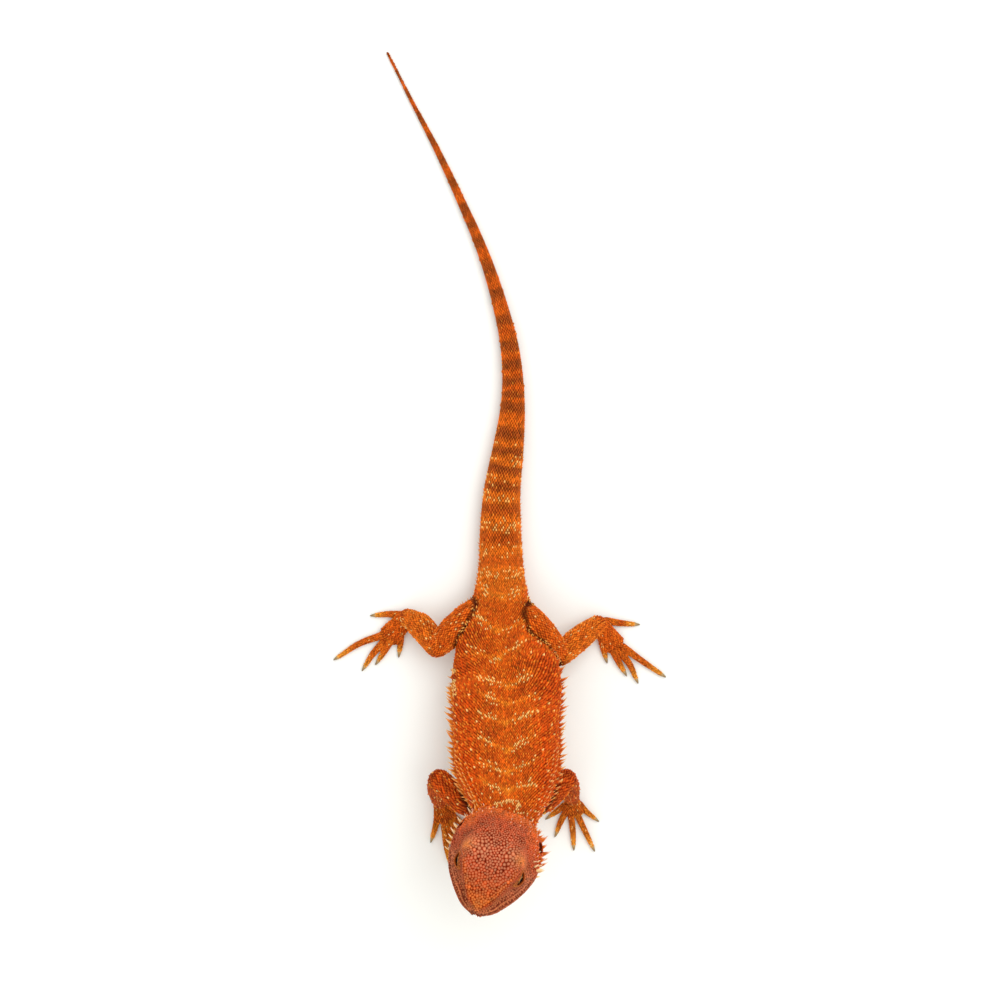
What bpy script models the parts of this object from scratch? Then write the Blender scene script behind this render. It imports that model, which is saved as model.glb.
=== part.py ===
# Bearded dragon, about three quarters grown, as a still life-size model.
# It stands alert: the chest and the head are raised on the forelegs, the thighs and feet are
# spread, and the vent and the tail lie on the floor. +Z is up, and the snout points to -Y.
# Sizes and places are in millimetres, and each mesh is scaled to metres as it is made.

import math

import bmesh
import bpy
import numpy as np
from mathutils import Matrix

MM = 0.001
GAP = 0.3
# The middle of the finished model's box, which becomes the origin.
BOX_MIDDLE = (-0.14, 11.7)

# The trunk: place of its axis, half width, and height of the back and depth of the belly from the axis.
TRUNK = (
    (1.2, -129.0, 50.0, 9.5, 7.0, 8.0),
    (2.4, -120.5, 45.0, 12.4, 8.6, 10.0),
    (3.0, -111.6, 39.5, 17.2, 10.0, 12.0),
    (2.6, -100.6, 33.5, 20.0, 11.3, 12.5),
    (2.3, -85.6, 26.5, 20.5, 11.8, 12.3),
    (2.2, -70.5, 20.8, 21.4, 11.4, 11.9),
    (0.5, -63.8, 18.4, 19.5, 11.0, 11.7),
    (-0.8, -57.1, 16.2, 16.4, 10.4, 11.3),
    (0.2, -45.5, 12.6, 12.8, 9.2, 10.6),
    (0.4, -36.4, 9.4, 10.2, 7.7, 8.6),
)
# The way that the tail's axis takes over the floor, from just behind the vent to its tip.
TAIL_WAY = (
    (0.4, -28.0),
    (0.2, -12.0),
    (0.9, 4.0),
    (3.2, 20.0),
    (5.2, 40.0),
    (4.0, 60.0),
    (-0.6, 80.0),
    (-7.2, 100.0),
    (-15.8, 120.0),
    (-25.2, 140.0),
    (-35.6, 160.0),
    (-43.0, 174.8),
    (-45.0, 178.8),
)
# Half the tail's width at shares of its way, its height as a share of its width, and how far
# its axis lies above the floor as a share of that height.
TAIL_SHARES = (0.0, 0.11, 0.2, 0.3, 0.42, 0.6, 0.8, 1.0)
TAIL_HALF_WIDTHS = (8.8, 7.5, 6.3, 4.65, 3.4, 2.1, 1.25, 0.55)
TAIL_FLATNESS = (0.8, 1.0)
TAIL_REST = 0.93
TAIL_PIECES = 4

# The head, along its own axis from the back of the skull (0) to the tip of the snout (1).
HEAD_LENGTH = 38.5
HEAD_BASE = (2.2, -122.5, 47.8)
HEAD_YAW, HEAD_PITCH, HEAD_ROLL = 19.5, 28.0, 6.0
HEAD_SHARES = (-0.1, 0.0, 0.14, 0.3, 0.45, 0.58, 0.72, 0.84, 0.93, 0.985)
HEAD_FORM = {
    "crown": (5.0, 8.2, 9.8, 10.4, 10.3, 9.7, 8.0, 6.0, 4.2, 2.2),
    "brow_half": (5.0, 8.0, 9.6, 10.4, 11.3, 10.8, 7.9, 5.6, 4.0, 2.0),
    "brow_drop": (1.6, 2.0, 2.0, 1.6, 1.0, 0.9, 0.9, 0.8, 0.8, 0.5),
    "cheek_half": (7.5, 11.8, 14.4, 15.0, 13.0, 12.0, 9.8, 7.2, 4.9, 2.3),
    "cheek_height": (0.8, 1.6, 3.0, 3.4, 3.2, 3.0, 2.5, 2.0, 1.4, 0.8),
    "lip_half": (8.5, 13.0, 16.3, 17.4, 16.9, 15.6, 12.9, 9.6, 6.3, 2.7),
    "lip_height": (-2.0, -2.4, -2.6, -2.4, -2.0, -1.6, -1.2, -0.9, -0.7, -0.6),
    "jaw_half": (7.6, 12.0, 15.4, 16.3, 15.6, 14.0, 11.4, 8.5, 5.5, 2.2),
    "jaw_height": (-5.0, -6.6, -7.2, -7.0, -6.2, -5.4, -4.5, -3.7, -3.0, -1.9),
    "throat": (-7.0, -10.6, -11.8, -11.4, -10.0, -8.4, -6.8, -5.4, -4.2, -2.6),
}
HEAD_RINGS, HEAD_STEPS = 21, 2

EYE_SHARE, EYE_OUT, EYE_HEIGHT, EYE_RADIUS = 0.565, 9.7, 4.3, 3.3
LID_RADIUS = 4.15
# The lids' opening: its half sizes out, along and up, and its middle from the eye's.
LID_OPENING, LID_OPENING_SHIFT = (3.2, 3.0, 1.5), (3.0, 0.2, -0.1)
EAR_SHARE, EAR_OUT, EAR_HEIGHT, EAR_RADIUS, EAR_DEPTH = 0.16, 15.6, 0.4, 2.3, 1.7
EAR_TALL, DRUM_SUNK, DRUM_MARGIN = 1.15, 1.0, 0.45
NOSTRIL_SHARE, NOSTRIL_OUT, NOSTRIL_HEIGHT, NOSTRIL_RADIUS = 0.905, 5.0, 2.0, 0.75
# The line of the mouth, as shares of the head's length and heights, and on behind its corner
# to the throat, where the jaw ends.
MOUTH_LINE = (
    (1.06, -1.1),
    (0.93, -1.4),
    (0.75, -2.0),
    (0.58, -2.7),
    (0.44, -2.6),
    (0.37, -3.4),
    (0.3, -7.5),
    (0.24, -14.0),
)

# A foreleg or a hind leg: joints from inside the trunk to the wrist or ankle, with radii.
RIGHT_ARM = (
    (-4.5, -119.0, 36.0, 5.2),
    (-13.8, -117.0, 31.6, 4.8),
    (-23.8, -108.6, 27.0, 4.2),
    (-24.6, -113.5, 18.0, 3.8),
    (-23.8, -120.4, 5.6, 2.7),
)
LEFT_ARM = (
    (9.0, -118.5, 36.0, 5.2),
    (17.0, -116.2, 31.6, 4.8),
    (25.7, -108.4, 27.0, 4.2),
    (27.2, -113.0, 18.0, 3.8),
    (28.8, -119.0, 5.6, 2.7),
)
RIGHT_LEG = (
    (-3.6, -41.4, 12.2, 6.3),
    (-14.2, -48.2, 14.6, 6.1),
    (-25.0, -57.8, 12.0, 4.7),
    (-30.6, -50.8, 9.8, 5.0),
    (-36.8, -46.6, 4.8, 3.5),
)
LEFT_LEG = (
    (4.2, -42.0, 12.6, 6.3),
    (14.2, -50.2, 15.6, 6.0),
    (23.6, -61.2, 13.0, 4.7),
    (31.4, -54.8, 9.8, 4.8),
    (39.0, -49.2, 4.8, 3.5),
)
JOINT = 2

# A palm or a sole: place and half width of its two ends; then each digit's root, bend and tip
# on the floor, first digit first.
RIGHT_HAND = {
    "palm": ((-23.9, -120.4, 2.8), (-21.8, -127.2, 4.5)),
    "digits": (
        ((-19.0, -125.8), (-15.6, -128.8), (-13.6, -130.2)),
        ((-19.4, -128.0), (-16.6, -134.4), (-15.0, -138.0)),
        ((-21.0, -129.0), (-18.8, -137.0), (-17.6, -141.6)),
        ((-22.4, -129.0), (-21.4, -138.6), (-20.4, -143.8)),
        ((-25.0, -126.2), (-26.0, -131.4), (-27.0, -134.6)),
    ),
}
LEFT_HAND = {
    "palm": ((28.8, -118.8, 2.8), (29.2, -124.8, 4.3)),
    "digits": (
        ((26.0, -121.8), (22.4, -124.6), (20.2, -126.2)),
        ((26.4, -124.2), (24.0, -129.2), (22.8, -132.4)),
        ((28.4, -126.0), (29.2, -133.4), (29.4, -137.6)),
        ((30.8, -125.4), (34.2, -132.8), (36.8, -138.2)),
        ((31.8, -121.4), (34.6, -124.6), (37.6, -127.0)),
    ),
}
RIGHT_FOOT = {
    "palm": ((-37.4, -47.2, 3.5), (-44.2, -54.4, 4.5)),
    "digits": (
        ((-39.6, -53.0), (-39.8, -57.2), (-40.2, -60.4)),
        ((-43.6, -56.0), (-46.6, -61.0), (-48.4, -63.8)),
        ((-46.4, -56.6), (-51.0, -61.8), (-53.8, -66.2)),
        ((-47.0, -54.0), (-56.2, -57.4), (-64.4, -62.6)),
        ((-39.0, -45.8), (-45.0, -45.6), (-49.4, -46.0)),
    ),
}
LEFT_FOOT = {
    "palm": ((39.4, -49.8, 3.5), (45.6, -57.9, 4.5)),
    "digits": (
        ((40.6, -55.4), (41.4, -59.6), (42.2, -62.8)),
        ((45.0, -59.8), (47.6, -65.0), (49.4, -68.2)),
        ((47.8, -60.4), (52.2, -66.4), (54.2, -71.0)),
        ((49.0, -58.6), (56.6, -64.2), (64.2, -69.4)),
        ((42.0, -48.2), (48.6, -49.2), (53.4, -49.6)),
    ),
}
LIMB_SIDES = 12
HAND_THICKNESS, FOOT_THICKNESS = 1.9, 2.2
FINGER_RADII = (1.5, 1.25, 0.95)
TOE_RADII = (1.75, 1.4, 1.0)
DIGIT_REST = 0.86
CLAW_LENGTH, CLAW_TIP_HEIGHT, CLAW_TIP_RADIUS = 2.3, 0.35, 0.1
CLAW_SHARE = 0.82
# Along a claw: share of its length, rise over the line of the digit, share of its radius.
CLAW_ARCH = ((0.45, 0.25, 0.68), (0.85, -0.12, 0.34))

# Each kind of spine has a length and a radius at the skin. A row on the body has its angle from
# the side of the body, the distances of its ends from the stations that it lies between, and
# how far its spines lean back.
SPINE_SIDES, SPINE_SUNK = 5, 1.1
FLANK_SPINE, FLANK_ANGLES, FLANK_COUNT = (3.4, 0.85), (-2.0, -16.0), 17
FLANK_ENDS, FLANK_LEAN = (-1.0, -0.6), 0.35
TAIL_SPINE, TAIL_SPINE_ANGLE, TAIL_SPINE_COUNT = (1.5, 0.7), 8, 9
TAIL_SPINE_ENDS, TAIL_SPINE_LEAN = (3.0, -6.0), 0.8
NECK_SPINES, NECK_SPINE_LEAN = ((14, 3.2), (34, 2.6), (56, 2.2)), 0.7
BEARD_SPINE, NAPE_SPINE = (3.9, 0.8), (2.4, 0.75)
# The beard's rows: the node that carries them, their line on the head's section, the shares of
# the head's length that they lie between, their count, lean and share of the beard's length.
BEARD_ROWS = (
    ("head", 4.25, (0.04, 0.34), 7, 0.5, 1.0),
    ("head", 4.85, (0.06, 0.21), 4, 0.4, 0.9),
    ("head", 3.3, (0.02, 0.12), 3, 0.5, 0.62),
    ("jaw", 4.75, (0.41, 0.56), 4, 0.5, 0.55),
)
NAPE_SHARE, NAPE_LINES = 0.07, (0.45, 1.15, 1.9, 2.6)

COLOURS = {
    "skin": ((0.53, 0.12, 0.02), 0.6),
    "claw": ((0.33, 0.25, 0.09), 0.35),
    "eye": ((0.05, 0.03, 0.02), 0.1),
    "eardrum": ((0.42, 0.16, 0.07), 0.45),
}


# Curves and profiles

def through(knots, values, at, steady=False):
    """Smooth values at the places asked for, through the values given at the knots."""
    knots = np.asarray(knots, float)
    values = np.asarray(values, float).reshape(len(knots), -1)
    at = np.atleast_1d(np.asarray(at, float))
    step = np.diff(knots)[:, None]
    slope = np.diff(values, axis=0) / step
    inner = (slope[:-1] * step[1:] + slope[1:] * step[:-1]) / (step[1:] + step[:-1])
    if steady:
        least = 2 * np.minimum(np.abs(slope[:-1]), np.abs(slope[1:]))
        inner = np.where(slope[:-1] * slope[1:] > 0, np.clip(inner, -least, least), 0)
    tangent = np.vstack([slope[:1], inner, slope[-1:]])
    i = np.clip(np.searchsorted(knots, at, side="right") - 1, 0, len(knots) - 2)
    wide = step[i]
    f = (at - knots[i])[:, None] / wide
    return (
        values[i] * (1 + 2 * f) * (1 - f) ** 2
        + tangent[i] * wide * f * (1 - f) ** 2
        + values[i + 1] * f * f * (3 - 2 * f)
        + tangent[i + 1] * wide * f * f * (f - 1)
    )


def unit(vector):
    return np.asarray(vector, float) / np.linalg.norm(vector)


class Tube:
    """A form round a smooth axis. Each row is a place, a half width, a height and a depth."""

    def __init__(self, rows, up=(0, 0, 1), squareness=2.0):
        rows = np.array(rows, float)
        if rows.shape[1] == 4:
            rows = np.hstack([rows, rows[:, 3:], rows[:, 3:]])
        chords = np.linalg.norm(np.diff(rows[:, :3], axis=0), axis=1)
        self.knots = np.concatenate([[0], np.cumsum(chords)])
        self.places = rows[:, :3]
        self.sizes = rows[:, 3:]
        self.up = np.array(up, float)
        self.power = 2 / squareness
        self.length = self.knots[-1]

    def evenly(self, count):
        return np.linspace(0, self.length, count)

    def frame(self, at):
        """The axis point, and the directions on along it, across it and up from it."""
        nudge = 0.05
        place = through(self.knots, self.places, at)[0]
        ends = through(self.knots, self.places, [max(at - nudge, 0), min(at + nudge, self.length)])
        ahead = unit(ends[1] - ends[0])
        across = unit(np.cross(ahead, self.up))
        return place, ahead, across, np.cross(across, ahead)

    def ring(self, at, sides, grow=0.0, scale=1.0, slide=0.0):
        place, ahead, across, above = self.frame(at)
        wide, high, deep = (through(self.knots, self.sizes, at, steady=True)[0] + grow) * scale
        angles = np.arange(sides) * 2 * math.pi / sides
        c, s = np.cos(angles), np.sin(angles)
        sideways = wide * np.sign(c) * np.abs(c) ** self.power
        upwards = np.where(s > 0, high, deep) * np.sign(s) * np.abs(s) ** self.power
        return place + slide * ahead + np.outer(sideways, across) + np.outer(upwards, above)

    def point(self, at, angle):
        """The point of the surface at an angle in degrees, 0 across and 90 up, and its normal."""
        found = []
        for a, turn in ((at, 0), (at + 0.3, 0), (at, 2)):
            place, _, across, above = self.frame(a)
            wide, high, deep = through(self.knots, self.sizes, a, steady=True)[0]
            c, s = math.cos(math.radians(angle + turn)), math.sin(math.radians(angle + turn))
            sideways = wide * math.copysign(abs(c) ** self.power, c)
            upwards = (high if s > 0 else deep) * math.copysign(abs(s) ** self.power, s)
            found.append(place + sideways * across + upwards * above)
        normal = unit(np.cross(found[1] - found[0], found[2] - found[0]))
        outward = found[0] - self.frame(at)[0]
        return found[0], normal if normal @ outward > 0 else -normal

    def rings(self, stations, sides, grow=0.0, domes=(True, True)):
        """The rings at the stations, with a dome or a flat face at each end, and the end points."""
        made = [self.ring(at, sides, grow) for at in stations]
        poles = []
        for at, dome, sign in ((stations[0], domes[0], -1), (stations[-1], domes[1], 1)):
            place, ahead, _, _ = self.frame(at)
            reach = (through(self.knots, self.sizes, at, steady=True)[0] + grow).min()
            if not dome:
                poles.append(place)
                continue
            cap = [
                self.ring(at, sides, grow, math.cos(turn), sign * reach * math.sin(turn))
                for turn in np.radians((35.0, 65.0))
            ]
            made = cap[::-1] + made if sign < 0 else made + cap
            poles.append(place + sign * reach * ahead)
        return made, poles


# Meshes and their joins

def shape(name, points, faces):
    """A mesh object of points in millimetres, with its faces turned outwards."""
    offset = np.array([BOX_MIDDLE[0], BOX_MIDDLE[1], 0.0])
    mesh = bpy.data.meshes.new(name)
    mesh.from_pydata(((np.asarray(points) - offset) * MM).tolist(), [], faces)
    form = bmesh.new()
    form.from_mesh(mesh)
    bmesh.ops.recalc_face_normals(form, faces=form.faces)
    if form.calc_volume(signed=True) < 0:
        bmesh.ops.reverse_faces(form, faces=form.faces)
    form.to_mesh(mesh)
    form.free()
    obj = bpy.data.objects.new(name, mesh)
    bpy.context.scene.collection.objects.link(obj)
    return obj


def skinned(name, rings, poles):
    """A closed mesh over rings of equal count, closed by a fan to a point at each end."""
    sides = len(rings[0])
    points = np.vstack(rings + [np.array(poles)])
    faces = []
    for r in range(len(rings) - 1):
        for k in range(sides):
            a, b = r * sides + k, r * sides + (k + 1) % sides
            faces.append((a, b, b + sides, a + sides))
    first, last = len(points) - 2, len(points) - 1
    end = (len(rings) - 1) * sides
    for k in range(sides):
        faces.append(((k + 1) % sides, k, first))
        faces.append((end + k, end + (k + 1) % sides, last))
    return shape(name, points, faces)


def spine(root, direction, length, radius):
    """A cone with its foot sunk under the skin."""
    along = unit(direction)
    side = unit(np.cross(along, (0.3, 0.2, 0.93)))
    other = np.cross(along, side)
    angles = np.arange(SPINE_SIDES) * 2 * math.pi / SPINE_SIDES
    foot = np.asarray(root) - along * SPINE_SUNK
    ring = foot + radius * (np.outer(np.cos(angles), side) + np.outer(np.sin(angles), other))
    return skinned("spine", [ring], [foot, root + along * length])


def ball(name, middle, radii, turn=None, rings=8, sides=14):
    """An ellipsoid with three half axes, turned by a matrix if one is given."""
    turn = np.eye(3) if turn is None else turn
    made = []
    for r in range(1, rings):
        fall = math.pi * r / rings
        angles = np.arange(sides) * 2 * math.pi / sides
        flat = np.stack(
            [
                np.sin(fall) * np.cos(angles),
                np.sin(fall) * np.sin(angles),
                np.full(sides, math.cos(fall)),
            ],
            axis=1,
        )
        made.append(np.asarray(middle) + (flat * radii) @ turn.T)
    tips = [np.asarray(middle) + turn @ (np.array([0, 0, s]) * radii) for s in (1, -1)]
    return skinned(name, made, tips)


def evaluated(obj):
    """The object's mesh with its modifiers applied, which replaces its own mesh."""
    graph = bpy.context.evaluated_depsgraph_get()
    graph.update()
    mesh = bpy.data.meshes.new_from_object(obj.evaluated_get(graph))
    obj.modifiers.clear()
    obj.data = mesh


def fuse(base, pieces, solver="EXACT"):
    """Joins closed pieces to the base by one Boolean, then removes them."""
    if not pieces:
        return base
    group = bpy.data.collections.new("pieces")
    bpy.context.scene.collection.children.link(group)
    for piece in pieces:
        bpy.context.scene.collection.objects.unlink(piece)
        group.objects.link(piece)
    join = base.modifiers.new("join", "BOOLEAN")
    join.operation = "UNION"
    join.solver = solver
    join.operand_type = "COLLECTION"
    join.collection = group
    evaluated(base)
    for piece in pieces:
        bpy.data.objects.remove(piece)
    bpy.data.collections.remove(group)
    return base


def cut(obj, cutter, operation="DIFFERENCE", keep_cutter=False, solver="EXACT"):
    """Cuts the object by the cutter, which is removed unless it is used again."""
    trim = obj.modifiers.new("cut", "BOOLEAN")
    trim.operation = operation
    trim.solver = solver
    trim.object = cutter
    evaluated(obj)
    if not keep_cutter:
        bpy.data.objects.remove(cutter)
    return obj


def keep_largest(obj):
    """Keeps the largest closed surface of the object's mesh."""
    form = bmesh.new()
    form.from_mesh(obj.data)
    bmesh.ops.triangulate(form, faces=form.faces)
    left = set(form.faces)
    groups = []
    while left:
        stack = [left.pop()]
        found = set(stack)
        while stack:
            face = stack.pop()
            for edge in face.edges:
                for other in edge.link_faces:
                    if other in left:
                        left.remove(other)
                        found.add(other)
                        stack.append(other)
        groups.append(found)
    largest = max(groups, key=lambda faces: sum(face.calc_area() for face in faces))
    loose = [face for faces in groups if faces is not largest for face in faces]
    bmesh.ops.delete(form, geom=loose, context="FACES")
    form.to_mesh(obj.data)
    form.free()
    return obj


def block(name, low, high):
    """A box from its lowest to its highest corner."""
    corners = [(x, y, z) for x in (low[0], high[0]) for y in (low[1], high[1]) for z in (low[2], high[2])]
    faces = [(0, 1, 3, 2), (4, 6, 7, 5), (0, 4, 5, 1), (2, 3, 7, 6), (0, 2, 6, 4), (1, 5, 7, 3)]
    return shape(name, corners, faces)


def trim_to_floor(obj):
    """Cuts flats where the form reaches below the floor."""
    if min(v.co.z for v in obj.data.vertices) >= 0:
        return obj
    return cut(obj, block("floor_cutter", (-100, -200, -20), (100, 220, 0)))


def finish(obj, look, seen_smooth=True):
    """Gives the node its material, keeps its one closed body and shades it."""
    keep_largest(obj)
    colour, roughness = COLOURS[look]
    material = bpy.data.materials.get(look)
    if material is None:
        material = bpy.data.materials.new(look)
        material.use_nodes = True
        shader = material.node_tree.nodes["Principled BSDF"]
        shader.inputs["Base Color"].default_value = (*colour, 1)
        shader.inputs["Roughness"].default_value = roughness
    obj.data.materials.clear()
    obj.data.materials.append(material)
    if seen_smooth:
        obj.data.shade_smooth()
        obj.data.set_sharp_from_angle(angle=math.radians(40))
    return obj


# The trunk and the tail on one axis

def body_tube():
    """One axis from inside the head to the tip of the tail."""
    way = np.array(TAIL_WAY)
    chords = np.linalg.norm(np.diff(way, axis=0), axis=1)
    share = np.concatenate([[0], np.cumsum(chords)]) / chords.sum()
    half = through(TAIL_SHARES, TAIL_HALF_WIDTHS, share, steady=True)[:, 0]
    flatness = np.interp(share, (0.0, 0.45), TAIL_FLATNESS)
    high = half * flatness
    tail = [
        (x, y, TAIL_REST * h, w, h, h)
        for (x, y), w, h in zip(way, half, high)
    ]
    return Tube(list(TRUNK) + tail, squareness=2.25)


BODY = body_tube()
NECK_END = BODY.knots[2] - 1.5
TRUNK_END = BODY.knots[len(TRUNK) - 1] + 3.0
TAIL_ENDS = TRUNK_END + (BODY.length - TRUNK_END) * np.linspace(0, 1, TAIL_PIECES + 1) ** 1.15
NECK_STATIONS = np.linspace(BODY.knots[0], NECK_END - GAP / 2, 7)
TORSO_STATIONS = np.linspace(NECK_END + GAP / 2, TRUNK_END - GAP / 2, 24)
BODY_SIDES, TAIL_SIDES = 24, 12


def tail_stations(piece):
    stop = TAIL_ENDS[piece + 1] - (GAP / 2 if piece < TAIL_PIECES - 1 else 0)
    return np.linspace(TAIL_ENDS[piece] + GAP / 2, stop, 12)


def body_piece(name, stations, sides=BODY_SIDES, grow=0.0, domes=(False, False)):
    return skinned(name, *BODY.rings(stations, sides, grow, domes))


def body_cutter():
    """The trunk and the tail's root, grown by the gap, for what grows from them."""
    stations = np.concatenate([NECK_STATIONS, TORSO_STATIONS, tail_stations(0)[:4]])
    return body_piece("body_cutter", stations, grow=GAP, domes=(True, True))


def row_on_body(start, end, count, angle, size, lean, jitter):
    """A row of spines along one side of the body, leaning back by lean."""
    made = []
    for i, at in enumerate(np.linspace(start, end, count)):
        point, normal = BODY.point(at, angle)
        back = BODY.frame(at)[1]
        swell = 1 + jitter * math.sin(2.4 * i + angle)
        made.append(spine(point, normal + lean * back, size[0] * swell, size[1]))
    return made


def make_neck(head_cutter):
    neck = body_piece("neck", NECK_STATIONS)
    rows = []
    for angle, length in NECK_SPINES:
        for side in (angle, 180 - angle):
            at = BODY.knots[1] + 4.6 + 0.05 * abs(angle)
            point, normal = BODY.point(at, side)
            back = BODY.frame(at)[1]
            rows.append(spine(point, normal + NECK_SPINE_LEAN * back, length, NAPE_SPINE[1]))
    fuse(neck, rows)
    cut(neck, head_cutter, keep_cutter=True)
    return finish(neck, "skin")


def make_torso():
    torso = body_piece("torso", TORSO_STATIONS)
    rows = []
    start, end = BODY.knots[3] + FLANK_ENDS[0], BODY.knots[5] + FLANK_ENDS[1]
    for turn, angle in enumerate(FLANK_ANGLES):
        shift = turn * 0.5 * (end - start) / FLANK_COUNT
        for side in (angle, 180 - angle):
            rows += row_on_body(start + shift, end + shift, FLANK_COUNT, side, FLANK_SPINE, FLANK_LEAN, 0.12)
    fuse(torso, rows)
    trim_to_floor(torso)
    return finish(torso, "skin")


def make_tail():
    """The tail in lengths, shorter towards the vent, with small spines beside its root."""
    for i in range(TAIL_PIECES):
        sides = TAIL_SIDES if i else BODY_SIDES
        last = i == TAIL_PIECES - 1
        piece = body_piece(f"tail_{i + 1}", tail_stations(i), sides, domes=(False, last))
        if i == 0:
            rows = []
            start, end = TAIL_ENDS[0] + TAIL_SPINE_ENDS[0], TAIL_ENDS[1] + TAIL_SPINE_ENDS[1]
            for side in (TAIL_SPINE_ANGLE, 180 - TAIL_SPINE_ANGLE):
                rows += row_on_body(start, end, TAIL_SPINE_COUNT, side, TAIL_SPINE, TAIL_SPINE_LEAN, 0.1)
            fuse(piece, rows)
        trim_to_floor(piece)
        finish(piece, "skin")


# The head, in its own frame: x across, y on to the snout, z up

def head_matrix():
    turn = (
        Matrix.Rotation(math.radians(180 - HEAD_YAW), 3, "Z")
        @ Matrix.Rotation(math.radians(HEAD_PITCH), 3, "X")
        @ Matrix.Rotation(math.radians(HEAD_ROLL), 3, "Y")
    )
    return np.array(turn)


HEAD_TURN = head_matrix()


def on_head(points):
    """Points of the head's frame, placed on the animal."""
    return np.asarray(points, float) @ HEAD_TURN.T + np.array(HEAD_BASE)


def head_section(share, grow=0.0, steps=HEAD_STEPS):
    """One closed section of the head, from the crown round both sides."""
    v = {k: through(HEAD_SHARES, row, share, steady=True)[0, 0] for k, row in HEAD_FORM.items()}
    half = [
        (0.0, v["crown"]),
        (0.52 * v["brow_half"], v["crown"] - 0.15 * v["brow_drop"]),
        (v["brow_half"], v["crown"] - v["brow_drop"]),
        (v["cheek_half"], v["cheek_height"]),
        (v["lip_half"], v["lip_height"]),
        (v["jaw_half"], v["jaw_height"]),
        (0.62 * v["jaw_half"], 0.5 * (v["jaw_height"] + v["throat"]) - 0.9),
        (0.0, v["throat"]),
    ]
    loop = np.array(half + [(-x, z) for x, z in half[-2:0:-1]])
    count = len(loop)
    knots = np.arange(-2, count + 3)
    ring = through(knots, loop[knots % count], np.arange(count * steps) / steps)
    middle = np.array([0.0, 0.5 * (v["crown"] + v["throat"])])
    out = ring - middle
    ring = ring + grow * out / np.linalg.norm(out, axis=1)[:, None]
    y = np.full(len(ring), share * HEAD_LENGTH)
    return np.stack([ring[:, 0], y, ring[:, 1]], axis=1)


def head_form(name, grow=0.0, rings=HEAD_RINGS, steps=HEAD_STEPS):
    """The whole head with its jaw, closed at the back and at the snout."""
    shares = HEAD_SHARES[0] + (HEAD_SHARES[-1] - HEAD_SHARES[0]) * np.sin(np.linspace(0, math.pi / 2, rings))
    sections = [head_section(share, grow, steps) for share in shares]
    tips = [
        (0.0, HEAD_SHARES[0] * HEAD_LENGTH - 1.5 - grow, -1.0),
        (0.0, HEAD_LENGTH + grow, -0.4),
    ]
    return skinned(name, [on_head(s) for s in sections], [on_head(tip) for tip in tips])


def head_point(share, row):
    """A point of the head's right half at a control line of the section, and its normal."""
    found = []
    for s, r in ((share, row), (share + 0.01, row), (share, row + 0.1)):
        section = head_section(s, steps=20)
        found.append(section[int(round(r * 20))])
    normal = unit(np.cross(found[2] - found[0], found[1] - found[0]))
    outward = found[0] - np.array([0, found[0][1], 0])
    return found[0], normal if normal @ outward > 0 else -normal


def mouth_wedge(name, shift):
    """All that lies below the line of the mouth, moved up by shift."""
    line = np.array([(s * HEAD_LENGTH, z) for s, z in MOUTH_LINE])
    at = np.linspace(0, len(line) - 1, 17)
    line = through(np.arange(len(line)), line, at)
    along = np.gradient(line, axis=0)
    normals = np.stack([along[:, 1], -along[:, 0]], axis=1)
    normals /= np.linalg.norm(normals, axis=1)[:, None]
    line = line + normals * shift * np.sign(normals[0, 1])
    outline = [*line, (line[-1][0], -30.0), (line[0][0], -30.0)]
    count = len(outline)
    points = [(x, y, z) for x in (-25.0, 25.0) for y, z in outline]
    faces = [tuple(range(count)), tuple(range(2 * count - 1, count - 1, -1))]
    faces += [(k, (k + 1) % count, count + (k + 1) % count, count + k) for k in range(count)]
    return shape(name, on_head(points), faces)


def beard_spines():
    """The spines at the angle of the jaw and on the throat's edge, both sides."""
    made = {"head": [], "jaw": []}
    for owner, line, ends, count, lean, length in BEARD_ROWS:
        for i, share in enumerate(np.linspace(*ends, count)):
            point, normal = head_point(share, line)
            for side in (1, -1):
                flip = np.array([side, 1, 1])
                way = (normal + np.array([0.35, -lean, 0.05])) * flip
                grown = length * BEARD_SPINE[0] * (1 + 0.1 * math.sin(3.1 * i + side))
                root = on_head(point * flip)
                made[owner].append(spine(root, HEAD_TURN @ way, grown, BEARD_SPINE[1]))
    for line in NAPE_LINES:
        point, normal = head_point(NAPE_SHARE, line)
        for side in (1, -1):
            flip = np.array([side, 1, 1])
            way = (normal + np.array([0.2, -0.7, 0.3])) * flip
            made["head"].append(spine(on_head(point * flip), HEAD_TURN @ way, *NAPE_SPINE))
    return made


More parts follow.
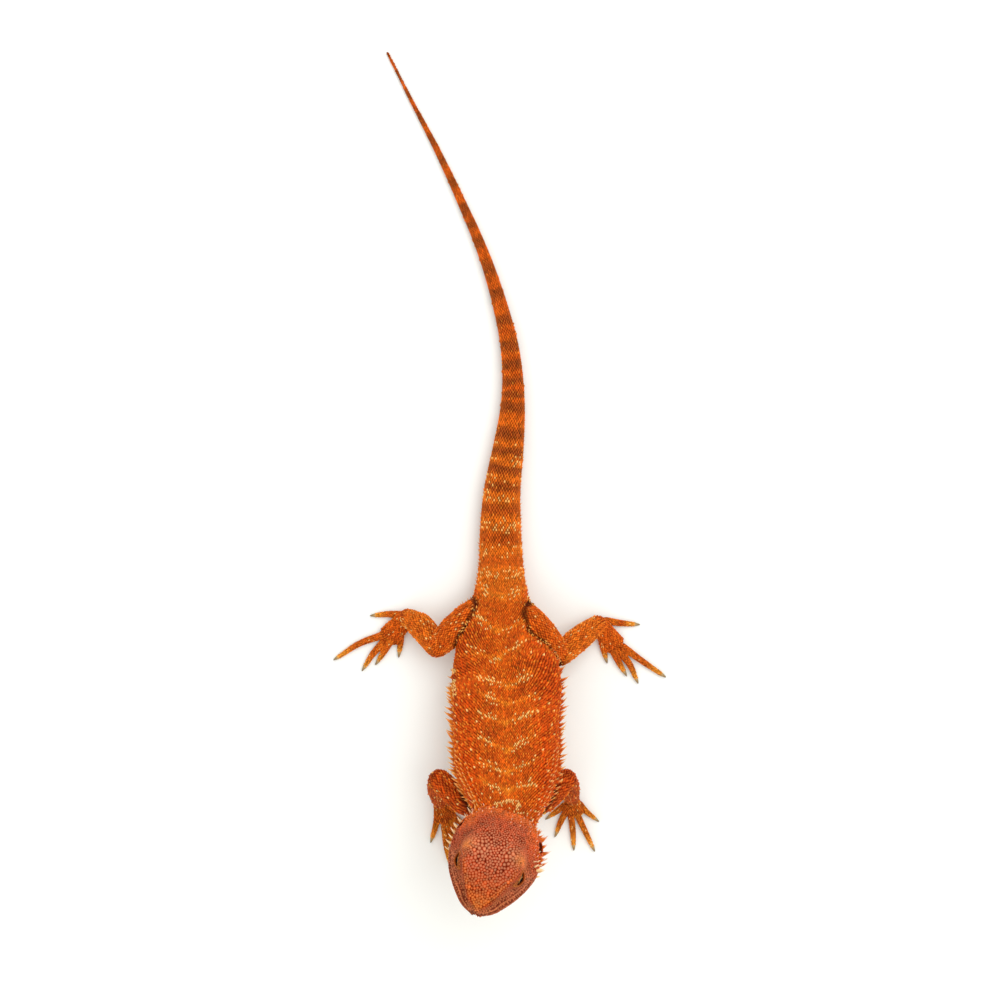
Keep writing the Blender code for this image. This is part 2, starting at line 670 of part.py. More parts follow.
def make_head():
    """The skull with its brows, lids, ear cups and nostrils, and the jaw below the mouth."""
    head = head_form("head")
    jaw = head_form("jaw")
    cut(jaw, mouth_wedge("mouth_below", -GAP / 2), "INTERSECT")
    cut(head, mouth_wedge("mouth_above", GAP / 2))
    extra = beard_spines()
    lids, sockets, slits, cups, nostrils = [], [], [], [], []
    for side in (1, -1):
        eye = (side * EYE_OUT, EYE_SHARE * HEAD_LENGTH, EYE_HEIGHT)
        lids.append(ball("lid", on_head(eye), (LID_RADIUS,) * 3, HEAD_TURN, 8, 12))
        sockets.append(ball("socket", on_head(eye), (EYE_RADIUS + GAP,) * 3, HEAD_TURN, 8, 12))
        opening = np.array(eye) + np.array(LID_OPENING_SHIFT) * (side, 1, 1)
        slits.append(ball("slit", on_head(opening), LID_OPENING, HEAD_TURN, 6, 10))
        ear = (side * EAR_OUT, EAR_SHARE * HEAD_LENGTH, EAR_HEIGHT)
        cups.append(ball("cup", on_head(ear), (EAR_DEPTH, EAR_RADIUS, EAR_RADIUS * EAR_TALL), HEAD_TURN, 6, 12))
        nose = (side * NOSTRIL_OUT, NOSTRIL_SHARE * HEAD_LENGTH, NOSTRIL_HEIGHT)
        nostrils.append(ball("nostril", on_head(nose), (NOSTRIL_RADIUS,) * 3, HEAD_TURN, 4, 8))
    fuse(head, extra["head"] + lids)
    for cutter in sockets + slits + cups + nostrils:
        cut(head, cutter)
    fuse(jaw, extra["jaw"])
    finish(head, "skin")
    finish(jaw, "skin")


def make_eyes_and_ears():
    for name, side in (("left", -1), ("right", 1)):
        eye = (side * EYE_OUT, EYE_SHARE * HEAD_LENGTH, EYE_HEIGHT)
        finish(ball(f"eye_{name}", on_head(eye), (EYE_RADIUS,) * 3, HEAD_TURN, 9, 14), "eye")
        ear = (side * (EAR_OUT - DRUM_SUNK + DRUM_MARGIN), EAR_SHARE * HEAD_LENGTH, EAR_HEIGHT)
        sizes = (EAR_DEPTH - DRUM_SUNK, EAR_RADIUS - DRUM_MARGIN, EAR_RADIUS * EAR_TALL - DRUM_MARGIN)
        finish(ball(f"eardrum_{name}", on_head(ear), sizes, HEAD_TURN, 6, 12), "eardrum")


# The legs

def limb_parts(names, rows, up, cutter):
    """The two lengths of a leg. The first meets the trunk, and the second meets the first."""
    upper = Tube(rows[: JOINT + 1], up)
    lower = Tube(rows[JOINT:], up)
    first = skinned(names[0], *upper.rings(upper.evenly(7), LIMB_SIDES))
    cut(first, cutter, keep_cutter=True)
    second = skinned(names[1], *lower.rings(lower.evenly(7), LIMB_SIDES))
    cut(second, skinned("joint_cutter", *upper.rings(upper.evenly(7), LIMB_SIDES, GAP)))
    cut(second, cutter, keep_cutter=True)
    for part in (first, second):
        trim_to_floor(part)
        finish(part, "skin")
    return lower


def digit_tube(ways, radii):
    """A finger or toe that lies on the floor and bends at its middle joint."""
    root, bend, tip = ways
    rows = [
        (*root, DIGIT_REST * radii[0], radii[0]),
        (*bend, DIGIT_REST * radii[1] + 0.25, radii[1]),
        (*tip, DIGIT_REST * radii[2], radii[2]),
    ]
    return Tube(rows)


def claw(name, digit, radius):
    """A horn claw that meets the digit's end face, arches and points down to the floor."""
    place, ahead, _, _ = digit.frame(digit.length)
    ahead = unit((ahead[0], ahead[1], 0))
    start = place + ahead * GAP
    rise = np.array([0, 0, 1.0])
    rows = [(*start, radius)]
    for share, lift, width in CLAW_ARCH:
        rows.append((*(start + ahead * share * CLAW_LENGTH + rise * lift), width * radius))
    tip = start + ahead * CLAW_LENGTH - rise * (start[2] - CLAW_TIP_HEIGHT)
    rows.append((*tip, CLAW_TIP_RADIUS))
    horn = Tube(rows)
    finish(skinned(name, *horn.rings(horn.evenly(4), 6, domes=(False, False))), "claw")


def make_extremity(name, plan, thickness, radii, lower):
    """A hand or a foot with its five digits and claws."""
    (x0, y0, w0), (x1, y1, w1) = plan["palm"]
    rows = (
        (x0, y0, thickness * 1.1, w0, thickness * 1.15, thickness * 1.15),
        (0.5 * (x0 + x1), 0.5 * (y0 + y1), thickness, 0.5 * (w0 + w1), thickness, thickness),
        (x1, y1, thickness * 0.85, w1, thickness * 0.88, thickness * 0.88),
    )
    palm_tube = Tube(rows, squareness=2.3)
    palm = skinned(name, *palm_tube.rings(palm_tube.evenly(5), LIMB_SIDES))
    fingers = []
    for i, ways in enumerate(plan["digits"]):
        digit = digit_tube(ways, radii)
        fingers.append(skinned("digit", *digit.rings(digit.evenly(6), 6, domes=(True, False))))
        claw(f"{name}_claw_{i + 1}", digit, CLAW_SHARE * radii[2])
    fuse(palm, fingers)
    cut(palm, skinned("wrist_cutter", *lower.rings(lower.evenly(7), LIMB_SIDES, GAP)))
    trim_to_floor(palm)
    finish(palm, "skin")


def make_limbs(cutter):
    forward, sideways = (1, 0, 0.2), (0.1, 0, 1)
    plans = (
        (("upper_arm_right", "forearm_right"), RIGHT_ARM, forward, "hand_right", RIGHT_HAND),
        (("upper_arm_left", "forearm_left"), LEFT_ARM, forward, "hand_left", LEFT_HAND),
        (("thigh_right", "shank_right"), RIGHT_LEG, sideways, "foot_right", RIGHT_FOOT),
        (("thigh_left", "shank_left"), LEFT_LEG, sideways, "foot_left", LEFT_FOOT),
    )
    for names, rows, up, end_name, plan in plans:
        lower = limb_parts(names, rows, up, cutter)
        is_hand = end_name.startswith("hand")
        thickness = HAND_THICKNESS if is_hand else FOOT_THICKNESS
        radii = FINGER_RADII if is_hand else TOE_RADII
        make_extremity(end_name, plan, thickness, radii, lower)


def main():
    for obj in list(bpy.data.objects):
        bpy.data.objects.remove(obj)
    head_cutter = head_form("head_cutter", GAP)
    cutter = body_cutter()
    make_head()
    make_eyes_and_ears()
    make_neck(head_cutter)
    make_torso()
    make_tail()
    make_limbs(cutter)
    for helper in (head_cutter, cutter):
        bpy.data.objects.remove(helper)


main()
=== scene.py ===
# %% [markdown]
# # A bearded dragon, life size
#
# The animal stands on its raised forelegs with its tail on the floor. Its solids come as a packed
# model. Here they get one skin with no seams, a coat of some tens of thousands of scales,
# spines at the flanks and the beard, eyes, ear membranes and claws, and then the light of the
# photograph.
#
# All forms are worked out in millimetres and become metres when a mesh is made.

# %% Load the solids
import math

import bmesh
import bpy
import numpy as np
from mathutils import Matrix, Vector
from mathutils.bvhtree import BVHTree
from mathutils.kdtree import KDTree


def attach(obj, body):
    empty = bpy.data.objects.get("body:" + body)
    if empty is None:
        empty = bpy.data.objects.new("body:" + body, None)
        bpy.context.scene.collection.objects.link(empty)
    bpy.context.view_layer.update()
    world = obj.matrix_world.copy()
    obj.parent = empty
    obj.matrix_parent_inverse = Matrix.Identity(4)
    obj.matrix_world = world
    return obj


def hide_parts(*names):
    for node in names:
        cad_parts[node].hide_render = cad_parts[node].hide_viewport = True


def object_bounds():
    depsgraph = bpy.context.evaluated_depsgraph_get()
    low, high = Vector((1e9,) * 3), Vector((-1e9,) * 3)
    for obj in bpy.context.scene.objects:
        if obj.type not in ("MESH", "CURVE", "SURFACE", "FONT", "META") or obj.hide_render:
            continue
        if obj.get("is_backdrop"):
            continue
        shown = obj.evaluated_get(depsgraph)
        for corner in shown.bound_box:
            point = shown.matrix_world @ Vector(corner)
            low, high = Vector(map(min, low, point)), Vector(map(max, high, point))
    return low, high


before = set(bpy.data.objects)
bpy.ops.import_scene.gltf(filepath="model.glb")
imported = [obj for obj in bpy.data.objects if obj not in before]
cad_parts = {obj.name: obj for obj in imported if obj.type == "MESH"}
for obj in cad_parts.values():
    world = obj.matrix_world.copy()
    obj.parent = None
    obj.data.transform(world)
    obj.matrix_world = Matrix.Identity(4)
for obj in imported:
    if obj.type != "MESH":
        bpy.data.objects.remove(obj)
cad_low, cad_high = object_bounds()
MM = 0.001
BOX_MIDDLE = np.array([-0.14, 11.7, 0.0])
box_mm = [round((b - a) / MM, 1) for a, b in zip(cad_low, cad_high)]
print("solids:", len(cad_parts), "box in mm:", box_mm)

# %% [markdown]
# ## Smooth values
#
# An animal has no corners. Its sizes are known at a few places, such as the neck, the widest
# part of the belly and the vent, and change smoothly from one to the next. A cubic curve through
# the known values gives all the others. In its steady form it never swings past them.

# %% A curve through known values
def through(knots, values, at, steady=False):
    """Smooth values at the places asked for, through the values given at the knots."""
    knots = np.asarray(knots, float)
    values = np.asarray(values, float).reshape(len(knots), -1)
    at = np.atleast_1d(np.asarray(at, float))
    step = np.diff(knots)[:, None]
    slope = np.diff(values, axis=0) / step
    inner = (slope[:-1] * step[1:] + slope[1:] * step[:-1]) / (step[1:] + step[:-1])
    if steady:
        least = 2 * np.minimum(np.abs(slope[:-1]), np.abs(slope[1:]))
        inner = np.where(slope[:-1] * slope[1:] > 0, np.clip(inner, -least, least), 0)
    tangent = np.vstack([slope[:1], inner, slope[-1:]])
    i = np.clip(np.searchsorted(knots, at, side="right") - 1, 0, len(knots) - 2)
    wide = step[i]
    f = (at - knots[i])[:, None] / wide
    return (
        values[i] * (1 + 2 * f) * (1 - f) ** 2
        + tangent[i] * wide * f * (1 - f) ** 2
        + values[i + 1] * f * f * (3 - 2 * f)
        + tangent[i + 1] * wide * f * f * (f - 1)
    )


def unit(vectors):
    vectors = np.asarray(vectors, float)
    return vectors / np.maximum(np.linalg.norm(vectors, axis=-1, keepdims=True), 1e-9)


print("half way from 1 to 3, with 2 to come:", through((0, 1, 2), (1, 3, 2), 0.5)[0, 0])

# %% [markdown]
# ## A form round an axis
#
# The trunk, the tail, each leg and each toe are forms round a bent axis. A form knows its axis,
# its half width, and how far it reaches above and below the axis. It can give a ring at any
# place, starting on top, and that is all that the skin and the rows of scales need.

# %% The form
class Form:
    """A smooth form round an axis. Each row is a place, a half width, a height and a depth."""

    def __init__(self, rows, up=(0, 0, 1), squareness=2.0, sunk=0.0):
        rows = np.array(rows, float)
        if rows.shape[1] == 4:
            rows = np.hstack([rows, rows[:, 3:], rows[:, 3:]])
        chords = np.linalg.norm(np.diff(rows[:, :3], axis=0), axis=1)
        self.knots = np.concatenate([[0], np.cumsum(chords)])
        self.places, self.sizes = rows[:, :3], rows[:, 3:]
        self.up = np.array(up, float)
        self.power = 2 / squareness
        self.length = self.knots[-1]
        self.sunk = sunk

    def frames(self, at):
        """The axis points, and the directions on along it, across it and up from it."""
        at = np.atleast_1d(np.asarray(at, float))
        place = through(self.knots, self.places, at)
        before = through(self.knots, self.places, np.clip(at - 0.05, 0, self.length))
        after = through(self.knots, self.places, np.clip(at + 0.05, 0, self.length))
        ahead = unit(after - before)
        across = unit(np.cross(ahead, self.up))
        return place, ahead, across, np.cross(across, ahead)

    def rings(self, at, sides, scale=1.0, slide=0.0):
        """One closed ring at each place, from the top round to the top."""
        place, ahead, across, above = self.frames(at)
        size = through(self.knots, self.sizes, at, steady=True)
        size = (size - np.minimum(self.sunk, 0.25 * size.min(axis=1, keepdims=True))) * scale
        turn = np.radians(90 - np.arange(sides) * 360 / sides)
        c, s = np.cos(turn), np.sin(turn)
        sideways = size[:, :1] * np.sign(c) * np.abs(c) ** self.power
        upwards = np.where(s > 0, size[:, 1:2], size[:, 2:3]) * np.sign(s) * np.abs(s) ** self.power
        middle = place + slide * ahead
        return (
            middle[:, None]
            + sideways[..., None] * across[:, None]
            + upwards[..., None] * above[:, None]
        )

    def closed(self, count, sides, start=0.0, stop=None):
        """Rings from end to end with a dome at each end, and the two end points."""
        stop = self.length if stop is None else stop
        middle = self.rings(np.linspace(start, stop, count), sides)
        ends = []
        for at, sign in ((start, -1), (stop, 1)):
            size = through(self.knots, self.sizes, at, steady=True)[0]
            reach = size.min() - min(self.sunk, 0.25 * size.min())
            turns = np.radians((25.0, 50.0, 72.0))
            cap = [self.rings([at], sides, math.cos(t), sign * reach * math.sin(t)) for t in turns]
            place, ahead, _, _ = self.frames([at])
            ends.append((cap, place[0] + sign * reach * ahead[0]))
        rings = np.concatenate([*ends[0][0][::-1], middle, *ends[1][0]])
        return rings, (ends[0][1], ends[1][1])


straw = Form([(0, 0, 0, 1.0), (5, 0, 0, 1.0), (10, 0, 0, 1.0)])
print("a straight form of radius 1:", straw.length, "mm long,", straw.rings([5], 4)[0][0, 2], "high")

# %% [markdown]
# ## The trunk and the tail
#
# One axis runs from inside the head over the raised chest and down to the vent, and on over
# the floor to the tip of the tail. The numbers are those of the solids, so the skin lies
# where they lie. It is sunk by a quarter of a millimetre, because the scales stand on it.

# %% The body's form
SUNK = 0.25
TRUNK = (
    (1.2, -129.0, 50.0, 9.5, 7.0, 8.0),
    (2.4, -120.5, 45.0, 12.4, 8.6, 10.0),
    (3.0, -111.6, 39.5, 17.2, 10.0, 12.0),
    (2.6, -100.6, 33.5, 20.0, 11.3, 12.5),
    (2.3, -85.6, 26.5, 20.5, 11.8, 12.3),
    (2.2, -70.5, 20.8, 21.4, 11.4, 11.9),
    (0.5, -63.8, 18.4, 19.5, 11.0, 11.7),
    (-0.8, -57.1, 16.2, 16.4, 10.4, 11.3),
    (0.2, -45.5, 12.6, 12.8, 9.2, 10.6),
    (0.4, -36.4, 9.4, 10.2, 7.7, 8.6),
)
TAIL_WAY = (
    *((0.4, -28.0), (0.2, -12.0), (0.9, 4.0), (3.2, 20.0), (5.2, 40.0), (4.0, 60.0), (-0.6, 80.0)),
    *((-7.2, 100.0), (-15.8, 120.0), (-25.2, 140.0), (-35.6, 160.0), (-43.0, 174.8), (-45.0, 178.8)),
)
TAIL_SHARES = (0.0, 0.11, 0.2, 0.3, 0.42, 0.6, 0.8, 1.0)
TAIL_HALF_WIDTHS = (8.8, 7.5, 6.3, 4.65, 3.4, 2.1, 1.25, 0.55)


def body_form():
    way = np.array(TAIL_WAY)
    chords = np.linalg.norm(np.diff(way, axis=0), axis=1)
    share = np.concatenate([[0], np.cumsum(chords)]) / chords.sum()
    half = through(TAIL_SHARES, TAIL_HALF_WIDTHS, share, steady=True)[:, 0]
    high = half * np.interp(share, (0.0, 0.45), (0.8, 1.0))
    tail = [(x, y, 0.93 * h, w, h, h) for (x, y), w, h in zip(way, half, high)]
    return Form(list(TRUNK) + tail, squareness=2.25, sunk=SUNK)


body = body_form()
VENT = body.knots[len(TRUNK) - 1] + 3.0
print("body", round(body.length), "mm long, of which the tail is", round(body.length - VENT))

# %% [markdown]
# ## The head
#
# The head is wedge shaped, wide at the cheeks and flat on top. Each section goes from the crown
# over the brow to the cheek, the lip, the jaw and the throat. It has its own frame: x across,
# y on to the snout, z up, and the head is tipped down and turned a little to one side.

# %% The head's form
HEAD_LENGTH = 38.5
HEAD_BASE = np.array([2.2, -122.5, 47.8])
HEAD_YAW, HEAD_PITCH, HEAD_ROLL = 19.5, 28.0, 6.0
HEAD_SHARES = (-0.1, 0.0, 0.14, 0.3, 0.45, 0.58, 0.72, 0.84, 0.93, 0.985)
HEAD_FORM = {
    "crown": (5.0, 8.2, 9.8, 10.4, 10.3, 9.7, 8.0, 6.0, 4.2, 2.2),
    "brow_half": (5.0, 8.0, 9.6, 10.4, 11.3, 10.8, 7.9, 5.6, 4.0, 2.0),
    "brow_drop": (1.6, 2.0, 2.0, 1.6, 1.0, 0.9, 0.9, 0.8, 0.8, 0.5),
    "cheek_half": (7.5, 11.8, 14.4, 15.0, 13.0, 12.0, 9.8, 7.2, 4.9, 2.3),
    "cheek_height": (0.8, 1.6, 3.0, 3.4, 3.2, 3.0, 2.5, 2.0, 1.4, 0.8),
    "lip_half": (8.5, 13.0, 16.3, 17.4, 16.9, 15.6, 12.9, 9.6, 6.3, 2.7),
    "lip_height": (-2.0, -2.4, -2.6, -2.4, -2.0, -1.6, -1.2, -0.9, -0.7, -0.6),
    "jaw_half": (7.6, 12.0, 15.4, 16.3, 15.6, 14.0, 11.4, 8.5, 5.5, 2.2),
    "jaw_height": (-5.0, -6.6, -7.2, -7.0, -6.2, -5.4, -4.5, -3.7, -3.0, -1.9),
    "throat": (-7.0, -10.6, -11.8, -11.4, -10.0, -8.4, -6.8, -5.4, -4.2, -2.6),
}
HEAD_TURN = np.array(
    Matrix.Rotation(math.radians(180 - HEAD_YAW), 3, "Z")
    @ Matrix.Rotation(math.radians(HEAD_PITCH), 3, "X")
    @ Matrix.Rotation(math.radians(HEAD_ROLL), 3, "Y")
)


def on_head(points):
    """Points of the head's frame, placed on the animal."""
    return np.asarray(points, float) @ HEAD_TURN.T + HEAD_BASE


def in_head(points):
    return (np.asarray(points, float) - HEAD_BASE) @ HEAD_TURN


def head_ring(share, steps):
    """One section of the head, from the crown round the right side to the crown again."""
    v = {k: through(HEAD_SHARES, row, share, steady=True)[0, 0] for k, row in HEAD_FORM.items()}
    half = [
        (0.0, v["crown"]),
        (0.52 * v["brow_half"], v["crown"] - 0.15 * v["brow_drop"]),
        (v["brow_half"], v["crown"] - v["brow_drop"]),
        (v["cheek_half"], v["cheek_height"]),
        (v["lip_half"], v["lip_height"]),
        (v["jaw_half"], v["jaw_height"]),
        (0.62 * v["jaw_half"], 0.5 * (v["jaw_height"] + v["throat"]) - 0.9),
        (0.0, v["throat"]),
    ]
    loop = np.array(half + [(-x, z) for x, z in half[-2:0:-1]])
    count = len(loop)
    knots = np.arange(-2, count + 3)
    ring = through(knots, loop[knots % count], np.arange(count * steps) / steps)
    middle = np.array([0.0, 0.5 * (v["crown"] + v["throat"])])
    ring = ring - SUNK * unit(ring - middle)
    return np.stack([ring[:, 0], np.full(len(ring), share * HEAD_LENGTH), ring[:, 1]], axis=1)


head_shares = HEAD_SHARES[0] + (HEAD_SHARES[-1] - HEAD_SHARES[0]) * np.sin(np.linspace(0, math.pi / 2, 70))
head_rings = np.array([on_head(head_ring(share, 8)) for share in head_shares])
head_ends = on_head([(0, HEAD_SHARES[0] * HEAD_LENGTH - 1.2, -1.0), (0, HEAD_LENGTH - SUNK, -0.4)])
print("head", HEAD_LENGTH, "mm long and", round(2 * max(HEAD_FORM["lip_half"]), 1), "mm wide")

# %% [markdown]
# ## The legs, hands and feet
#
# A leg is two forms that share a joint: the elbow or the knee. A hand is a flat palm with
# five fingers that lie on the floor, each with one bend. First come their places and sizes, as
# the solids have them.

# %% The legs' places and sizes
LIMBS = {
    "arm_right": (
        (-4.5, -119.0, 36.0, 5.2),
        (-13.8, -117.0, 31.6, 4.8),
        (-23.8, -108.6, 27.0, 4.2),
        (-24.6, -113.5, 18.0, 3.8),
        (-23.8, -120.4, 5.6, 2.7),
    ),
    "arm_left": (
        (9.0, -118.5, 36.0, 5.2),
        (17.0, -116.2, 31.6, 4.8),
        (25.7, -108.4, 27.0, 4.2),
        (27.2, -113.0, 18.0, 3.8),
        (28.8, -119.0, 5.6, 2.7),
    ),
    "leg_right": (
        (-3.6, -41.4, 12.2, 6.3),
        (-14.2, -48.2, 14.6, 6.1),
        (-25.0, -57.8, 12.0, 4.7),
        (-30.6, -50.8, 9.8, 5.0),
        (-36.8, -46.6, 4.8, 3.5),
    ),
    "leg_left": (
        (4.2, -42.0, 12.6, 6.3),
        (14.2, -50.2, 15.6, 6.0),
        (23.6, -61.2, 13.0, 4.7),
        (31.4, -54.8, 9.8, 4.8),
        (39.0, -49.2, 4.8, 3.5),
    ),
}
PALMS = {
    "arm_right": ((-23.9, -120.4, 2.8), (-21.8, -127.2, 4.5)),
    "arm_left": ((28.8, -118.8, 2.8), (29.2, -124.8, 4.3)),
    "leg_right": ((-37.4, -47.2, 3.5), (-44.2, -54.4, 4.5)),
    "leg_left": ((39.4, -49.8, 3.5), (45.6, -57.9, 4.5)),
}
# Each digit's root, bend and tip on the floor.
DIGITS = {
    "arm_right": (
        ((-19.0, -125.8), (-15.6, -128.8), (-13.6, -130.2)),
        ((-19.4, -128.0), (-16.6, -134.4), (-15.0, -138.0)),
        ((-21.0, -129.0), (-18.8, -137.0), (-17.6, -141.6)),
        ((-22.4, -129.0), (-21.4, -138.6), (-20.4, -143.8)),
        ((-25.0, -126.2), (-26.0, -131.4), (-27.0, -134.6)),
    ),
    "arm_left": (
        ((26.0, -121.8), (22.4, -124.6), (20.2, -126.2)),
        ((26.4, -124.2), (24.0, -129.2), (22.8, -132.4)),
        ((28.4, -126.0), (29.2, -133.4), (29.4, -137.6)),
        ((30.8, -125.4), (34.2, -132.8), (36.8, -138.2)),
        ((31.8, -121.4), (34.6, -124.6), (37.6, -127.0)),
    ),
    "leg_right": (
        ((-39.6, -53.0), (-39.8, -57.2), (-40.2, -60.4)),
        ((-43.6, -56.0), (-46.6, -61.0), (-48.4, -63.8)),
        ((-46.4, -56.6), (-51.0, -61.8), (-53.8, -66.2)),
        ((-47.0, -54.0), (-56.2, -57.4), (-64.4, -62.6)),
        ((-39.0, -45.8), (-45.0, -45.6), (-49.4, -46.0)),
    ),
    "leg_left": (
        ((40.6, -55.4), (41.4, -59.6), (42.2, -62.8)),
        ((45.0, -59.8), (47.6, -65.0), (49.4, -68.2)),
        ((47.8, -60.4), (52.2, -66.4), (54.2, -71.0)),
        ((49.0, -58.6), (56.6, -64.2), (64.2, -69.4)),
        ((42.0, -48.2), (48.6, -49.2), (53.4, -49.6)),
    ),
}
THICKNESS = {"arm": 1.9, "leg": 2.2}
DIGIT_RADII = {"arm": (1.5, 1.25, 0.95), "leg": (1.75, 1.4, 1.0)}
print("digits on the floor:", sum(map(len, DIGITS.values())))

# %% [markdown]
# A digit's form is slimmer than the solid's, because its scales make up the rest.

# %% The legs' forms
SLIM = 0.84


def palm_form(limb):
    (x0, y0, w0), (x1, y1, w1) = PALMS[limb]
    t = THICKNESS[limb[:3]]
    rows = (
        (x0, y0, t * 1.1, w0, t * 1.15, t * 1.15),
        (0.5 * (x0 + x1), 0.5 * (y0 + y1), t, 0.5 * (w0 + w1), t, t),
        (x1, y1, t * 0.85, w1, t * 0.88, t * 0.88),
    )
    return Form(rows, squareness=2.3, sunk=0.15)


def digit_form(limb, way):
    lift = (0.0, 0.25, 0.0)
    radii = DIGIT_RADII[limb[:3]]
    return Form([(*p, 0.86 * r + l, SLIM * r) for p, r, l in zip(way, radii, lift)], sunk=0.1)


legs = {}
for limb, rows in LIMBS.items():
    up = (1, 0, 0.2) if limb.startswith("arm") else (0.1, 0, 1)
    legs[limb] = (Form(rows[:3], up, sunk=SUNK), Form(rows[2:], up, sunk=SUNK))
palms = {limb: palm_form(limb) for limb in LIMBS}
digits = {limb: [digit_form(limb, way) for way in ways] for limb, ways in DIGITS.items()}
print("forms:", 2 * len(legs) + len(palms) + sum(map(len, digits.values())), "in the legs")

# %% [markdown]
# ## One skin
#
# A real animal has one skin, with soft hollows where a leg leaves the trunk. So all the forms
# are to become one mesh. Each form is a closed tube of rings, with a fan of faces to a point at
# either end.

# %% Meshes from rings
def mesh_object(name, points, faces):
    """A mesh object of points in millimetres. Its object sits at the origin."""
    mesh = bpy.data.meshes.new(name)
    mesh.from_pydata(((np.asarray(points) - BOX_MIDDLE) * MM).tolist(), [], faces)
    obj = bpy.data.objects.new(name, mesh)
    bpy.context.scene.collection.objects.link(obj)
    return obj


def tube_faces(count, sides, start=0):
    """Faces over rings of equal count, with a fan to a point at each end."""
    faces = []
    for r in range(count - 1):
        for k in range(sides):
            a, b = start + r * sides + k, start + r * sides + (k + 1) % sides
            faces.append((a, b, b + sides, a + sides))
    first, end = start + count * sides, start + (count - 1) * sides
    for k in range(sides):
        faces.append((start + (k + 1) % sides, start + k, first))
        faces.append((end + k, end + (k + 1) % sides, first + 1))
    return faces


def joined_tubes(name, tubes):
    """One mesh of many closed tubes, each given as rings and two end points."""
    points, faces = [], []
    for rings, ends in tubes:
        count, sides = len(rings), len(rings[0])
        faces += tube_faces(count, sides, sum(map(len, points)))
        points.append(np.concatenate([np.reshape(rings, (-1, 3)), np.reshape(ends, (-1, 3))]))
    obj = mesh_object(name, np.vstack(points), faces)
    face_outwards(obj)
    return obj


def face_outwards(obj):
    form = bmesh.new()
    form.from_mesh(obj.data)
    bmesh.ops.recalc_face_normals(form, faces=form.faces)
    form.to_mesh(obj.data)
    form.free()


print("a tube of 4 rings of 6 points has", len(tube_faces(4, 6)), "faces")


# %% Balls, and modifiers applied
def finished(obj):
    """Applies the object's modifiers to its mesh."""
    graph = bpy.context.evaluated_depsgraph_get()
    graph.update()
    mesh = bpy.data.meshes.new_from_object(obj.evaluated_get(graph))
    obj.modifiers.clear()
    old = obj.data
    obj.data = mesh
    bpy.data.meshes.remove(old)
    return obj


def round_form(middle, radii, turn, rows=12, sides=20):
    """An ellipsoid as rings and two end points, turned by a matrix."""
    fall = np.pi * np.arange(1, rows) / rows
    angle = np.arange(sides) * 2 * np.pi / sides
    x = np.sin(fall)[:, None] * np.cos(angle)
    y = np.sin(fall)[:, None] * np.sin(angle)
    z = np.repeat(np.cos(fall)[:, None], sides, axis=1)
    rings = (np.stack([x, y, z], axis=2) * radii) @ turn.T + middle
    ends = [middle + turn @ (np.array([0, 0, s]) * radii) for s in (1, -1)]
    return rings, ends


print("points of a ball:", round_form(np.zeros(3), (1, 1, 1), np.eye(3))[0].shape[:2])

# %% [markdown]
# A voxel remesh melts the tubes and the balls of the lids into a single closed surface. It is
# fine enough to keep the toes.

# %% Join the forms and remesh them
LID_RADIUS = 4.15
EYE_RADIUS = 3.3
EYE_SHARE, EYE_OUT, EYE_HEIGHT = 0.565, 9.7, 4.3
VOXEL = 0.35
eye_places = {s: np.array([s * EYE_OUT, EYE_SHARE * HEAD_LENGTH, EYE_HEIGHT]) for s in (1, -1)}
tubes = [body.closed(500, 48), (head_rings, head_ends)]
for limb in LIMBS:
    tubes += [form.closed(40, 32) for form in legs[limb]]
    tubes.append(palms[limb].closed(24, 32))
    tubes += [form.closed(36, 20) for form in digits[limb]]
for place in eye_places.values():
    tubes.append(round_form(on_head(place), (LID_RADIUS - 0.15,) * 3, HEAD_TURN, 20, 30))
skin = joined_tubes("skin", tubes)
melt = skin.modifiers.new("melt", "REMESH")
melt.mode = "VOXEL"
melt.voxel_size = VOXEL * MM
finished(skin)
print("skin:", len(skin.data.polygons), "faces after the remesh")

# %% [markdown]
# ## Folds at the joints
#
# The remesh leaves a hard crease wherever two forms meet, and on an animal it is a fold. So
# each point near a joint moves to the mean of its neighbours a number of times. The pull fades
# with the distance from the joint, so the fingers, the lids and the tip of the tail keep their
# shape.

# %% Read and write a mesh
def coordinates(mesh):
    """The mesh's points in the millimetres of the forms."""
    found = np.empty(len(mesh.vertices) * 3)
    mesh.vertices.foreach_get("co", found)
    return found.reshape(-1, 3) / MM + BOX_MIDDLE


def set_coordinates(mesh, points):
    mesh.vertices.foreach_set("co", ((points - BOX_MIDDLE) * MM).ravel())
    mesh.update()


def normals_of(mesh):
    found = np.empty(len(mesh.vertices) * 3)
    mesh.vertices.foreach_get("normal", found)
    return found.reshape(-1, 3)


def edges_of(mesh):
    found = np.empty(len(mesh.edges) * 2, int)
    mesh.edges.foreach_get("vertices", found)
    return found.reshape(-1, 2)


print("edges of the skin:", len(edges_of(skin.data)))

# %% Relax the skin at its joints
RELAX_TURNS = 40


def neighbours_mean(values, edges, shares):
    total = np.empty_like(values)
    for axis in range(values.shape[1]):
        total[:, axis] = np.bincount(edges[:, 0], values[edges[:, 1], axis], len(values))
        total[:, axis] += np.bincount(edges[:, 1], values[edges[:, 0], axis], len(values))
    return total / shares[:, None]


def relax(mesh, joints, turns):
    """Smooths round joints, each given by its place and its reach."""
    points, edges = coordinates(mesh), edges_of(mesh)
    shares = np.bincount(edges.ravel(), minlength=len(points)).astype(float)
    pull = np.zeros(len(points))
    for place, reach in joints:
        away = np.linalg.norm(points - np.asarray(place), axis=1)
        pull = np.maximum(pull, np.clip(1.6 * (1 - away / reach), 0, 0.9))
    for _ in range(turns):
        points += pull[:, None] * (neighbours_mean(points, edges, shares) - points)
    set_coordinates(mesh, points)


